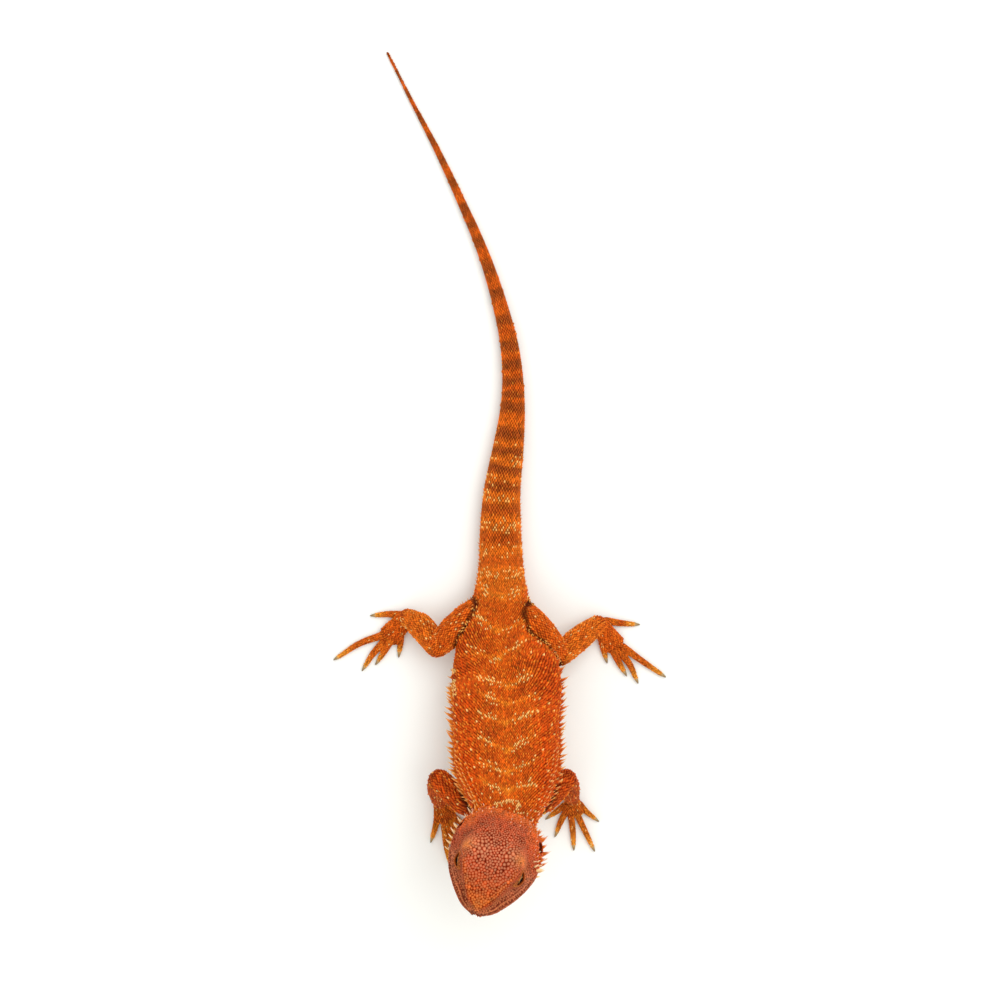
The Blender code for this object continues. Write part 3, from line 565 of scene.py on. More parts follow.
joints = [(LIMBS[limb][0][:3], 15.0) for limb in ("arm_right", "arm_left")]
joints += [(LIMBS[limb][0][:3], 6.0) for limb in ("leg_right", "leg_left")]
joints += [(rows[2][:3], 7.0) for rows in LIMBS.values()]
joints += [((x0, y0, 3.5), 4.5) for (x0, y0, _), _ in PALMS.values()]
joints += [(on_head((0, -1.5, -3)), 17.0)]
relax(skin.data, joints, RELAX_TURNS)

# %% [markdown]
# ## The relief of the head
#
# Seen from above, two low domes lie over the eyes with a hollow between them. From each dome a
# sharp ridge runs to the snout, with a groove outside it, and below that lies the broad band
# of the lip. A crease leads back from the corner of the eye. Each of these is a small push
# of the skin in or out, given in the head's own frame by how far a point is from a line. Three
# small functions say how much: a soft step, a soft bump and the distance from a bent line.

# %% Soft steps, soft bumps and distances
def ramp(values, low, high):
    f = np.clip((np.asarray(values, float) - low) / (high - low), 0, 1)
    return f * f * (3 - 2 * f)


def bell(values, middle, width):
    return np.exp(-(((values - middle) / width) ** 2))


def line_distance(points, line):
    """The distance of each point from a bent line, in as many directions as the line has."""
    line = np.asarray(line, float)
    best = np.full(len(points), 1e9)
    for a, b in zip(line[:-1], line[1:]):
        run = b - a
        f = np.clip(((points - a) @ run) / (run @ run), 0, 1)
        best = np.minimum(best, np.linalg.norm(points - a - f[:, None] * run, axis=1))
    return best


print("a soft step and a soft bump, half way:", ramp(0.5, 0, 1), round(bell(0.5, 0, 1), 2))

# %% [markdown]
# The lines are the ridge from the eye to the snout, the crease behind the eye, the mouth and the
# rim of the ear.

# %% Raise the domes and ridges, press in the grooves
RIDGE_SHARES = (0.5, 0.6, 0.7, 0.8, 0.9, 0.965)
RIDGE_OUT = (11.2, 10.2, 8.3, 6.1, 3.8, 1.2)
DOME_OUT, DOME_SHARE, DOME_WIDE, DOME_LONG = 8.0, 0.45, 4.0, 5.6
CREASE = ((13.6, 0.47, 2.2), (15.0, 0.42, 1.2), (16.6, 0.34, 0.6), (16.8, 0.26, 1.0))
MOUTH = ((1.03, -1.15), (0.93, -1.4), (0.75, -2.0), (0.58, -2.7), (0.44, -2.6), (0.36, -3.4))
mouth_curve = through(range(len(MOUTH)), MOUTH, np.linspace(0, len(MOUTH) - 1, 40))
mouth_curve = mouth_curve * (HEAD_LENGTH, 1)


def mouth_distance(q):
    """The height above the line of the mouth, and the distance from it, in the head's frame."""
    level = np.interp(-q[:, 1], -mouth_curve[:, 0], mouth_curve[:, 1])
    return q[:, 2] - level, line_distance(q[:, 1:], mouth_curve)


def head_relief(q):
    """How far each point of the head moves along its normal."""
    out, share, high = np.abs(q[:, 0]), q[:, 1] / HEAD_LENGTH, q[:, 2]
    on_top = ramp(high, 0.0, 2.5)
    ridge = np.interp(share, RIDGE_SHARES, RIDGE_OUT)
    beside = out - ridge
    snout = ramp(share, 0.54, 0.64) * (1 - ramp(share, 0.92, 0.98)) * on_top
    push = 0.75 * bell(beside, 0.0, 0.8) * snout
    push -= 1.25 * bell(beside, 2.1, 1.0) * snout
    dome = np.hypot((out - DOME_OUT) / DOME_WIDE, (q[:, 1] - DOME_SHARE * HEAD_LENGTH) / DOME_LONG)
    push += (1.3 * np.exp(-(dome**4)) - 0.5 * bell(dome, 1.32, 0.2)) * on_top
    push -= 0.45 * bell(q[:, 0], 0, 2.0) * ramp(share, 0.2, 0.4) * (1 - ramp(share, 0.62, 0.8)) * on_top
    crease = np.array(CREASE) * (1, HEAD_LENGTH, 1)
    push -= 0.7 * bell(line_distance(np.abs(q), crease), 0, 0.7)
    _, away = mouth_distance(q)
    lips = ramp(share, 0.3, 0.42)
    push -= 0.6 * bell(away, 0, 0.38) * lips
    push += 0.22 * bell(away, 1.5, 0.8) * lips
    for place in ear_places.values():
        push += 0.35 * bell(np.linalg.norm(q - place, axis=1), 2.9, 0.7)
    for place in eye_places.values():
        push *= ramp(np.linalg.norm(q - place, axis=1), 4.1, 5.3)
    return push


EAR_SHARE, EAR_OUT, EAR_HEIGHT, EAR_RADIUS, EAR_DEPTH, EAR_TALL = 0.16, 15.6, 0.4, 2.3, 1.7, 1.15
ear_places = {s: np.array([s * EAR_OUT, EAR_SHARE * HEAD_LENGTH, EAR_HEIGHT]) for s in (1, -1)}
points = coordinates(skin.data)
q = in_head(points)
near = (q[:, 1] > -3) & (q[:, 1] < HEAD_LENGTH + 2) & (np.abs(q[:, 0]) < 20) & (np.abs(q[:, 2]) < 14)
points[near] += normals_of(skin.data)[near] * head_relief(q[near])[:, None]
set_coordinates(skin.data, points)
print("head points moved:", int(near.sum()))

# %% [markdown]
# ## Eye openings, ears and nostrils
#
# The lids are a ball of flesh over the eye. Cutting a socket and a slit from it leaves a
# lid above and below. The ear of this animal is an open cup behind the corner of the mouth,
# with its membrane a little way in.

# %% Cut the openings
NOSTRIL_SHARE, NOSTRIL_OUT, NOSTRIL_HEIGHT, NOSTRIL_RADIUS = 0.905, 5.0, 2.0, 0.75
LID_OPEN, SLIT_OUT, LOOK_UP = (3.0, 2.65, 1.2), 3.2, 31.0
SKIN_TRIANGLES = 150000


def eye_frame(side):
    """The way that an eye looks, the way along its slit and the way across it, as columns."""
    look = unit((side * math.cos(math.radians(LOOK_UP)), 0.16, math.sin(math.radians(LOOK_UP))))
    across = unit(np.cross(look, (0, 1.0, 0)) * side)
    along = np.cross(across, look)
    return np.stack([look, along, across], axis=1)


def cut_from(obj, cutter):
    trim = obj.modifiers.new("cut", "BOOLEAN")
    trim.operation = "DIFFERENCE"
    trim.solver = "MANIFOLD"
    trim.object = cutter
    finished(obj)
    bpy.data.objects.remove(cutter)


thin = skin.modifiers.new("thin", "DECIMATE")
thin.ratio = SKIN_TRIANGLES / (2 * len(skin.data.polygons))
finished(skin)
slit_places, openings = {}, []
for side in (1, -1):
    eye, turned = on_head(eye_places[side]), HEAD_TURN @ eye_frame(side)
    slit_places[side] = eye + turned[:, 0] * SLIT_OUT
    openings.append(round_form(eye, (EYE_RADIUS + 0.03,) * 3, HEAD_TURN, 20, 32))
    openings.append(round_form(slit_places[side], LID_OPEN, turned, 14, 28))
    cup = (EAR_DEPTH, EAR_RADIUS, EAR_RADIUS * EAR_TALL)
    openings.append(round_form(on_head(ear_places[side]), cup, HEAD_TURN, 12, 24))
    nose = (side * NOSTRIL_OUT, NOSTRIL_SHARE * HEAD_LENGTH, NOSTRIL_HEIGHT)
    openings.append(round_form(on_head(nose), (NOSTRIL_RADIUS,) * 3, HEAD_TURN, 8, 14))
for opening in openings:
    cut_from(skin, joined_tubes("opening", [opening]))
print("skin:", len(skin.data.polygons), "faces with its openings")

# %% [markdown]
# ## Roots for the scales
#
# Scales grow in rows. On each form the rows run round it, each row shifted by half a scale
# from the last, counted from the middle of the back, so the pattern is regular where it is
# seen. Each root is then moved onto the skin, and one that finds no skin near it, such as one
# inside a thigh, is left out.

# %% The skin as something to land on
def corners_of(mesh):
    mesh.calc_loop_triangles()
    found = np.empty(len(mesh.loop_triangles) * 3, int)
    mesh.loop_triangles.foreach_get("vertices", found)
    return found.reshape(-1, 3)


skin_points, skin_corners, skin_normals = coordinates(skin.data), corners_of(skin.data), normals_of(skin.data)
skin_tree = BVHTree.FromPolygons(skin_points.tolist(), skin_corners.tolist(), all_triangles=True)
print("the skin to land on:", len(skin_corners), "triangles")

# %% [markdown]
# A row starts at the middle of the back and goes both ways round to the belly. The gap between
# its roots may widen on the way.

# %% Rows round a form
FINE_STEPS = 160


def rows_round(ring_at, ahead_at, start, stop, spacing, overlap=0.72, widen=None):
    """Roots in rings, each a dictionary column: place, lie, outward way, at, arc and half."""
    found = {k: [] for k in ("place", "lie", "out", "at", "arc", "half", "gap")}
    at, odd = start, 0
    while at < stop:
        ring = ring_at(at)
        loop = np.vstack([ring, ring[:1]])
        along = np.concatenate([[0], np.cumsum(np.linalg.norm(np.diff(loop, axis=0), axis=1))])
        half = along[-1] / 2
        fine = np.linspace(0, half, FINE_STEPS)
        gap = np.full(FINE_STEPS, spacing(at)) * (1 if widen is None else widen(fine, half))
        count = np.concatenate([[0], np.cumsum(np.diff(fine) * 2 / (gap[1:] + gap[:-1]))])
        steps = np.arange(0, count[-1] - 0.3) + 0.5 * odd
        arc = np.interp(steps[steps < count[-1] - 0.3], count, fine)
        arc = np.concatenate([-arc[::-1] if odd else -arc[:0:-1], arc])
        where = arc % along[-1]
        place = np.stack([np.interp(where, along, loop[:, k]) for k in range(3)], axis=1)
        found["place"].append(place)
        found["out"].append(unit(place - ring.mean(axis=0)))
        found["lie"].append(np.repeat(ahead_at(at)[None], len(arc), axis=0))
        found["at"].append(np.full(len(arc), at))
        found["arc"].append(arc)
        found["half"].append(np.full(len(arc), half))
        found["gap"].append(np.interp(np.abs(arc), fine, gap))
        at += spacing(at) * overlap
        odd = 1 - odd
    return {k: np.concatenate(v) for k, v in found.items()}


def rows_on(form, start, stop, spacing, overlap=0.72, widen=None):
    return rows_round(
        lambda at: form.rings([at], 72)[0],
        lambda at: form.frames([at])[1][0],
        start,
        stop,
        spacing,
        overlap,
        widen,
    )


print("roots in the row round the chest:", len(rows_on(body, 30, 30.5, lambda at: 1.0)["at"]))

# %% [markdown]
# Where two forms meet, both have rows. The first one to claim a place keeps it, and a root
# that comes closer to another than a good half of a scale is dropped.

# %% Land the roots and thin them where forms meet
rng = np.random.default_rng(7)
claimed = []


def tree_of(points):
    tree = KDTree(len(points))
    for i, point in enumerate(points):
        tree.insert(point, i)
    tree.balance()
    return tree


def land(rows, reach=1.0, crowd=0.62, jitter=0.1):
    """Moves roots onto the skin, drops those that miss it or crowd others."""
    shift = rng.normal(0, 1, rows["place"].shape) * rows["gap"][:, None] * jitter
    place, normal, keep = [], [], []
    for point, out in zip(rows["place"] + shift, rows["out"]):
        spot, face, _, away = skin_tree.find_nearest(point.tolist())
        keep.append(away < reach and np.dot(face, out) > 0.25)
        place.append(spot)
        normal.append(face)
    rows["place"], rows["normal"] = np.array(place), np.array(normal)
    keep = np.array(keep)
    if claimed:
        tree = tree_of(np.vstack(claimed))
        for i in np.nonzero(keep)[0]:
            keep[i] = tree.find(rows["place"][i])[2] > crowd * rows["gap"][i]
    rows = {k: v[keep] for k, v in rows.items()}
    rows["normal"] = unit(rows["normal"] + 0.6 * rows["out"])
    claimed.append(rows["place"])
    return rows


print("from 60 mm up, the skin is", round(skin_tree.find_nearest((0, -80, 60))[3], 1), "mm away")

# %% [markdown]
# The plates of the head are not in rows. They lie as evenly as many-sided plates do: points
# thrown at random onto the skin, each kept only if no other lies closer than its own size, and
# then pushed apart until they fill the skin.

# %% Throw places, spread them out and even them
def thrown(count, wanted, seed):
    """Random places on the skin's triangles whose middle is wanted, with their normals."""
    picks = np.random.default_rng(seed)
    a, b, c = (skin_points[skin_corners[:, k]] for k in range(3))
    area = np.linalg.norm(np.cross(b - a, c - a), axis=1) * wanted((a + b + c) / 3)
    chosen = np.searchsorted(np.cumsum(area) / area.sum(), picks.random(count))
    chosen = np.minimum(chosen, len(area) - 1)
    u, v = picks.random(count), picks.random(count)
    u, v = np.where(u + v > 1, 1 - u, u), np.where(u + v > 1, 1 - v, v)
    place = a[chosen] + u[:, None] * (b - a)[chosen] + v[:, None] * (c - a)[chosen]
    return place, unit(skin_normals[skin_corners[chosen]].mean(axis=1))


def spread_out(place, room, widest):
    """Which places to keep, so that none lies in the room of one kept before it."""
    cells, kept = {}, []
    keys = np.floor(place / widest).astype(int)
    around = [(i, j, k) for i in (-1, 0, 1) for j in (-1, 0, 1) for k in (-1, 0, 1)]
    for n, ((x, y, z), (i, j, k), r) in enumerate(zip(place.tolist(), keys.tolist(), room.tolist())):
        free = True
        for di, dj, dk in around:
            for px, py, pz in cells.get((i + di, j + dj, k + dk), ()):
                if (x - px) ** 2 + (y - py) ** 2 + (z - pz) ** 2 < r * r:
                    free = False
                    break
            if not free:
                break
        if free:
            cells.setdefault((i, j, k), []).append((x, y, z))
            kept.append(n)
    return np.array(kept)


def even_out(place, room, turns):
    """Pushes neighbours apart until they fill the skin evenly. Gives places and normals."""
    normal = place
    for _ in range(turns):
        tree = tree_of(place)
        near = np.array([[i for _, i, _ in tree.find_n(p, 8)] for p in place.tolist()])[:, 1:]
        apart = place[:, None] - place[near]
        away = np.linalg.norm(apart, axis=2)
        wanted = 0.56 * (room[:, None] + room[near])
        push = apart / away[:, :, None] * np.clip(wanted - away, 0, None)[:, :, None]
        found = [skin_tree.find_nearest(p) for p in (place + 0.4 * push.sum(axis=1)).tolist()]
        place = np.array([f[0] for f in found])
        normal = np.array([f[1] for f in found])
    return place, normal


place, normal = thrown(500, lambda points: np.ones(len(points)), 1)
print("kept of 500 places thrown, 3 mm apart:", len(spread_out(place, np.full(500, 3.0), 3.0)))

# %% [markdown]
# The plates are coarsest on the inner slopes of the domes over the eyes, coarse on the snout,
# fine behind and finest on the lids. None grows in an opening, and the lips have their own.

# %% Where plates grow and how large they are
def inside_head(points):
    q = in_head(points)
    wide = (q[:, 1] > -1.5) & (q[:, 1] < HEAD_LENGTH + 2)
    return wide & (np.abs(q[:, 0]) < 19) & (q[:, 2] > -13) & (q[:, 2] < 13)


def eye_place(points, side):
    """Places in the frame of an eye's slit: along the look, along the slit, across it."""
    return (points - slit_places[side]) @ (HEAD_TURN @ eye_frame(side))


def in_opening(points, lid_margin, margin):
    """True inside an eye's slit, an ear or a nostril, or close to its edge."""
    q = in_head(points)
    found = np.zeros(len(points), bool)
    for side in (1, -1):
        e = eye_place(points, side) / (np.array(LID_OPEN) + lid_margin)
        found |= np.linalg.norm(e, axis=1) < 1
        ear = (q - ear_places[side]) / (EAR_DEPTH + 1, EAR_RADIUS + margin, EAR_RADIUS * EAR_TALL + margin)
        found |= np.linalg.norm(ear, axis=1) < 1
        nose = np.array([side * NOSTRIL_OUT, NOSTRIL_SHARE * HEAD_LENGTH, NOSTRIL_HEIGHT])
        found |= np.linalg.norm(q - nose, axis=1) < NOSTRIL_RADIUS + margin
    return found


def plate_size(q):
    """The distance between plates at places on the head, in millimetres."""
    out, share, high = np.abs(q[:, 0]), q[:, 1] / HEAD_LENGTH, q[:, 2]
    inner = np.interp(share, RIDGE_SHARES, RIDGE_OUT) - out
    top = ramp(high, 0, 3)
    size = np.full(len(q), 0.84)
    size += 0.74 * top * bell(out, 4.6, 3.6) * bell(share, 0.44, 0.15)
    size += 0.22 * top * ramp(share, 0.5, 0.62) * (1 - ramp(share, 0.92, 1.0)) * ramp(inner, -0.5, 1)
    size -= 0.2 * top * ramp(out, 8.8, 10.2) * bell(share, 0.43, 0.13)
    for side in (1, -1):
        away = np.linalg.norm(q - eye_places[side], axis=1)
        size = np.where(away < LID_RADIUS + 0.35, 0.5, size)
    return size


def lip_band(share):
    """How far above the mouth the band of the upper lip reaches."""
    return np.interp(share, (0.42, 0.5, 0.8, 0.95, 1.0), (1.6, 3.3, 3.0, 2.2, 2.0))


LIP_START, LOWER_LIP = 0.42, 2.1


def near_lips(q):
    above, _ = mouth_distance(q)
    share = q[:, 1] / HEAD_LENGTH
    return (share > LIP_START) & (above > -LOWER_LIP) & (above < lip_band(share))


spots = np.array([(4.6, 0.44 * HEAD_LENGTH, 9.0), (0, 0.75 * HEAD_LENGTH, 6.0), (0, 2.0, 8.0)])
print("plates of a dome, the snout and the skull, mm apart:", plate_size(spots).round(2))

# %% Scatter plates on the head
PLATE_THROWS, WIDEST_PLATE, EVEN_TURNS = 90000, 1.9, 7
place, normal = thrown(PLATE_THROWS, inside_head, 11)
q = in_head(place)
room = plate_size(q) * np.random.default_rng(12).uniform(0.9, 1.12, len(q))
good = ~in_opening(place, 0.9, 0.32) & ~near_lips(q)
place, room = place[good], room[good]
kept = spread_out(place, 0.8 * room, WIDEST_PLATE)
room = room[kept]
place, normal = even_out(place[kept], room, EVEN_TURNS)
q = in_head(place)
good = ~in_opening(place, 0.75, 0.1) & inside_head(place)
place, normal, room, q = place[good], normal[good], room[good], q[good]
head_rows = {
    "place": place,
    "normal": normal,
    "out": normal,
    "lie": np.repeat((HEAD_TURN @ np.array([0, -1.0, 0]))[None], len(q), axis=0),
    "at": q[:, 1],
    "arc": np.arctan2(q[:, 0], q[:, 2] + 1.0),
    "half": np.full(len(q), math.pi),
    "gap": room * 1.45,
}
claimed.append(head_rows["place"])
print("plates on the head:", len(place))

# %% [markdown]
# Upright scales stand in rows along both lips, and small beads go twice round each eye's slit.

# %% Scales of the lips
def ring_rows(places, out, lie, sizes):
    """Rows given outright, with the columns that all rows have."""
    places = np.array(places)
    q = in_head(places)
    return {
        "place": places,
        "normal": unit(out),
        "out": unit(out),
        "lie": np.array(lie),
        "at": q[:, 1],
        "arc": np.arctan2(q[:, 0], q[:, 2] + 1.0),
        "half": np.full(len(places), math.pi),
        "gap": np.full(len(places), 1.0),
        "size": np.array(sizes),
    }


def lip_line(lift):
    """Places in the head's frame along a lip, at a share of the way up its band."""
    line = []
    for share in np.linspace(LIP_START, HEAD_SHARES[-1], 120):
        ring = head_ring(share, 20)[int(2.4 * 20) : int(6 * 20)]
        band = float(lip_band(share)) if lift > 0 else LOWER_LIP
        level = np.interp(-share * HEAD_LENGTH, -mouth_curve[:, 0], mouth_curve[:, 1]) + lift * band
        line.append([*ring[np.argmin(np.abs(ring[:, 2] - level))], band])
    return np.array(line)


def lip_scales(lift, wide, tall):
    """Upright scales at equal steps along the lips of both sides."""
    line = lip_line(lift)
    run = np.concatenate([[0], np.cumsum(np.linalg.norm(np.diff(line[:, :2], axis=0), axis=1))])
    steps = np.arange(0, run[-1], wide)
    line = np.stack([np.interp(steps, run, line[:, k]) for k in range(4)], axis=1)
    places, normals, lies, sizes = [], [], [], []
    for x, y, z, band in line:
        for side in (1, -1):
            spot, face, _, _ = skin_tree.find_nearest(on_head((side * x, y, z)).tolist())
            places.append(np.array(spot))
            normals.append(np.array(face))
            lies.append(HEAD_TURN @ np.array([0, -0.15, 1.0 if lift > 0 else -1.0]))
            sizes.append((1.35 * wide, tall * band, 0.62))
    return ring_rows(places, normals, lies, sizes)


lip_rows = [lip_scales(0.3, 0.72, 0.72), lip_scales(0.82, 0.74, 0.62), lip_scales(-0.5, 0.78, 1.05)]
print("scales of the lips:", sum(len(r["at"]) for r in lip_rows))


# %% Beads on the rims of the lids
def lid_beads(side):
    """Small beads round an eye's slit."""
    turned = HEAD_TURN @ eye_frame(side)
    eye = on_head(eye_places[side])
    places, normals, lies, sizes = [], [], [], []
    for grow, size, count in ((0.2, 0.46, 34), (0.62, 0.5, 36)):
        for turn in np.arange(count) * 2 * math.pi / count:
            along, across = (LID_OPEN[1] + grow) * math.cos(turn), (LID_OPEN[2] + grow) * math.sin(turn)
            way = unit(turned @ np.array([math.sqrt(max(15.4 - along**2 - across**2, 1.0)), along, across]))
            spot, _, _, _ = skin_tree.find_nearest((eye + way * (LID_RADIUS - 0.15)).tolist())
            places.append(np.array(spot))
            normals.append(way)
            lies.append(turned @ np.array([0, -math.sin(turn), math.cos(turn)]))
            sizes.append((1.2 * size, 1.2 * size, 0.45))
    return ring_rows(places, normals, lies, sizes)


lid_rows = [lid_beads(1), lid_beads(-1)]
print("lid beads:", sum(len(r["at"]) for r in lid_rows))

# %% [markdown]
# On the trunk the rows are closest at the neck and the gaps widest on the flanks. On the tail
# they get finer towards its tip, and on the legs towards the toes.

# %% Rows on the trunk, the tail and the legs
def back_gap(at):
    return float(np.interp(at, (0, 20, 60, VENT), (0.8, 0.86, 0.9, 0.86)))


def tail_gap(at):
    return float(np.interp(at, (VENT, VENT + 30, VENT + 120, body.length), (0.95, 1.15, 0.92, 0.48)))


def wider_flanks(arc, half):
    return 1 + 0.55 * ramp(arc, 6, 15) * (1 - 0.6 * ramp(arc, 0.55 * half, 0.7 * half))


trunk_rows = land(rows_on(body, 1.0, VENT, back_gap, widen=wider_flanks), jitter=0.07)
tail_rows = land(rows_on(body, VENT, body.length - 0.3, tail_gap, 0.85), jitter=0.03)
upper_rows, lower_rows, palm_rows, digit_rows = {}, {}, {}, {}
for limb in LIMBS:
    upper, lower = legs[limb]
    wide = {"arm": (1.25, 1.12), "leg": (1.05, 1.0)}[limb[:3]]
    upper_rows[limb] = land(rows_on(upper, 0.0, upper.length + 2.5, lambda at: wide[0]))
    lower_rows[limb] = land(rows_on(lower, -2.5, lower.length, lambda at: wide[1]))
    palm_rows[limb] = land(rows_on(palms[limb], -1.5, palms[limb].length + 1.5, lambda at: 0.85))
    digit_rows[limb] = [land(rows_on(form, 0.0, form.length, lambda at: 0.75)) for form in digits[limb]]
print("roots: head", len(head_rows["at"]), "trunk", len(trunk_rows["at"]), "tail", len(tail_rows["at"]))
print("roots: legs", sum(len(r["at"]) for r in [*upper_rows.values(), *lower_rows.values()]))

# %% [markdown]
# ## Colours and markings
#
# The animal is a red-orange form. Down its back run a lighter stripe and some ten rows of
# cream scales, each a shallow arrow that points at the head, with darker ovals between them.
# The tail is banded. All of this is a rule of the place on the body, in millimetres along the
# back and round it, so the same rule gives the scales and the skin below them their colours.

# %% Colours, and soft random patches
def paint(red, green, blue):
    """A colour from 0 to 255, as the light value that a shader takes."""
    c = np.array([red, green, blue]) / 255
    return np.where(c <= 0.04045, c / 12.92, ((c + 0.055) / 1.055) ** 2.4)


def mixed(first, second, share):
    share = np.clip(np.asarray(share, float), 0, 1)[..., None]
    return np.asarray(first) * (1 - share) + np.asarray(second) * share


def patches(points, size, seed):
    """A smooth random pattern from about -1 to 1, with patches of the size given."""
    picks = np.random.default_rng(seed)
    ways = unit(picks.normal(0, 1, (16, 3))) * picks.uniform(0.6, 1.5, (16, 1)) * 2 * np.pi / size
    turns = picks.uniform(0, 2 * np.pi, 16)
    return np.sin(points @ ways.T + turns).mean(axis=1) * 2.4


RUST = paint(146, 48, 12)
BRICK = paint(182, 66, 12)
ORANGE = paint(212, 90, 14)
AMBER = paint(234, 134, 34)
FLAME = paint(200, 64, 0)
OCHRE = paint(206, 122, 30)
HONEY = paint(248, 166, 58)
CREAM = paint(255, 214, 130)
PEACH = paint(232, 164, 96)
UMBER = paint(124, 50, 20)
print("orange as a light value:", ORANGE.round(3))

# %% [markdown]
# Each pale row slopes towards the tail as it leaves the middle of the back. The random patches
# break it into short strings. The flanks are redder. Short pale bars mark the edge of the
# right flank, and a pale ring goes round a red disc on the nape.

# %% The markings of the trunk
PALE_ROWS = (15.2, 23.1, 33.0, 44.1, 51.5, 59.6, 71.7, 83.5, 97.0, 107.0)
BAR_STEP, BAR_SHARE, BARS_FROM, BARS_TO = 3.0, 0.4, 55, 75
NAPE_AT, NAPE_RING, NAPE_RING_HALF = 9.0, 3.4, 0.6


def on_bars(rows):
    """The scales of the short pale bars down the edge of the right flank, and those between the bars."""
    at, round_share = rows["at"], -rows["arc"] / rows["half"]
    edge = (round_share > 0.385) & (round_share < 0.455) & (at > BARS_FROM) & (at < BARS_TO)
    bar = at % BAR_STEP < BAR_SHARE * BAR_STEP
    return edge & bar, edge & ~bar


def trunk_colours(rows):
    """The tint of each scale of the trunk, and which scales are pale."""
    at, arc, half, place = rows["at"], rows["arc"], rows["half"], rows["place"]
    out = np.abs(arc)
    slope = 0.5 * np.minimum(out, 13) + 0.8 * patches(place, 11, 3)
    offset = (at - slope)[:, None] - np.array(PALE_ROWS)
    nearest = np.abs(offset).min(axis=1)
    between = 1 - bell(nearest, 0, 3.4)
    tint = mixed(ORANGE, BRICK, 0.45 + 0.5 * patches(place, 6, 4))
    tint = mixed(tint, RUST, 0.3 * between * bell(out, 7.0, 3.6) * (1 + 0.6 * patches(place, 7, 6)))
    midline = bell(out, 0, 1.7 + 0.5 * patches(place, 9, 5))
    tint = mixed(tint, AMBER, midline * (0.05 + 0.7 * bell(nearest, 0, 1.2)))
    tint = mixed(tint, AMBER, 0.45 * bell(nearest, 0, 0.8) * (1 - ramp(out, 11, 15)))
    tint = mixed(tint, mixed(FLAME, BRICK, 0.6), 0.95 * ramp(out, 8, 15))
    tint = mixed(tint, AMBER, 0.35 * (rng.random(len(at)) < 0.13) * (1 - ramp(out, 0.5 * half, 0.6 * half)))
    tint = mixed(tint, PEACH, ramp(out, 0.6 * half, 0.74 * half))
    strings = (nearest < 0.46) + 0.55 * (np.abs(nearest - 1.75) < 0.4)
    windows = np.clip(0.8 + 1.8 * patches(place, 9, 30), 0.05, 1)
    chance = strings * windows * bell(out, 6.6, 3.8)
    pale = rng.random(len(at)) < chance
    pale |= rng.random(len(at)) < 0.012 * ramp(out, 9, 13) * (1 - ramp(out, 20, 24))
    pale |= rng.random(len(at)) < 0.04 * (1 - ramp(at, 13, 20))
    bar, between_bars = on_bars(rows)
    pale |= bar
    tint = mixed(tint, RUST, 0.5 * between_bars)
    tint = mixed(tint, AMBER, 0.3 * bell(at, 102, 7) * (1 - ramp(out, 6, 12)))
    nape = np.hypot(at - NAPE_AT, 0.85 * out) + 0.9 * patches(place, 5, 31)
    pale |= (np.abs(nape - NAPE_RING) < NAPE_RING_HALF) & (rng.random(len(at)) < 0.75)
    tint = mixed(tint, FLAME, 0.4 * bell(at, 22, 14) * ramp(out, 8, 14))
    tint = mixed(tint, BRICK, 0.8 * (1 - ramp(nape, 2.2, 3.2)))
    return mixed(tint, CREAM, 0.5 * pale), pale


print("pale rows:", len(PALE_ROWS), "from", PALE_ROWS[0], "to", PALE_ROWS[-1], "mm behind the skull")

# %% [markdown]
# The tail has dark bands that get stronger towards its tip. A band is about half as wide as the
# room it has.

# %% The markings of the tail
TAIL_BANDS = (
    (113.5, 123.8, 134.6, 143.3, 150.6, 157.8, 165.1, 175.5, 180.7, 185.9, 192.7, 200.3, 211.0)
    + (221.3, 232.6, 243.7, 251.1, 257.7, 269.6, 279.7, 288.7, 298.6, 309.5, 318.0, 327.8)
)


def tail_colours(rows):
    at, out, half, place = rows["at"], np.abs(rows["arc"]), rows["half"], rows["place"]
    bands = np.array(TAIL_BANDS)
    room = np.gradient(bands)
    wander = at + 0.9 * patches(place, 5, 8)
    away = np.abs(wander[:, None] - bands) / (0.27 * room)
    dark = np.exp(-away.min(axis=1) ** 4)
    tint = mixed(ORANGE, BRICK, 0.3 + 0.4 * patches(place, 7, 9))
    tint = mixed(tint, UMBER, 0.72 * dark * (0.3 + 0.7 * ramp(at, 118, 155)))
    tint = mixed(tint, AMBER, 0.3 * (1 - dark) * (1 - ramp(at, 150, 185)))
    tint = mixed(tint, PEACH, 0.6 * ramp(out, 0.7 * half, 0.85 * half))
    fade = 1 - ramp(at, 140, 172)
    pale = rng.random(len(at)) < 0.34 * (1 - dark) * fade * bell(out, 4.5, 4.5)
    return mixed(tint, mixed(HONEY, CREAM, 0.4), 0.45 * pale), pale


print("tail bands:", len(TAIL_BANDS))

# %% [markdown]
# The arms are redder than the legs, and both get yellower towards the claws.

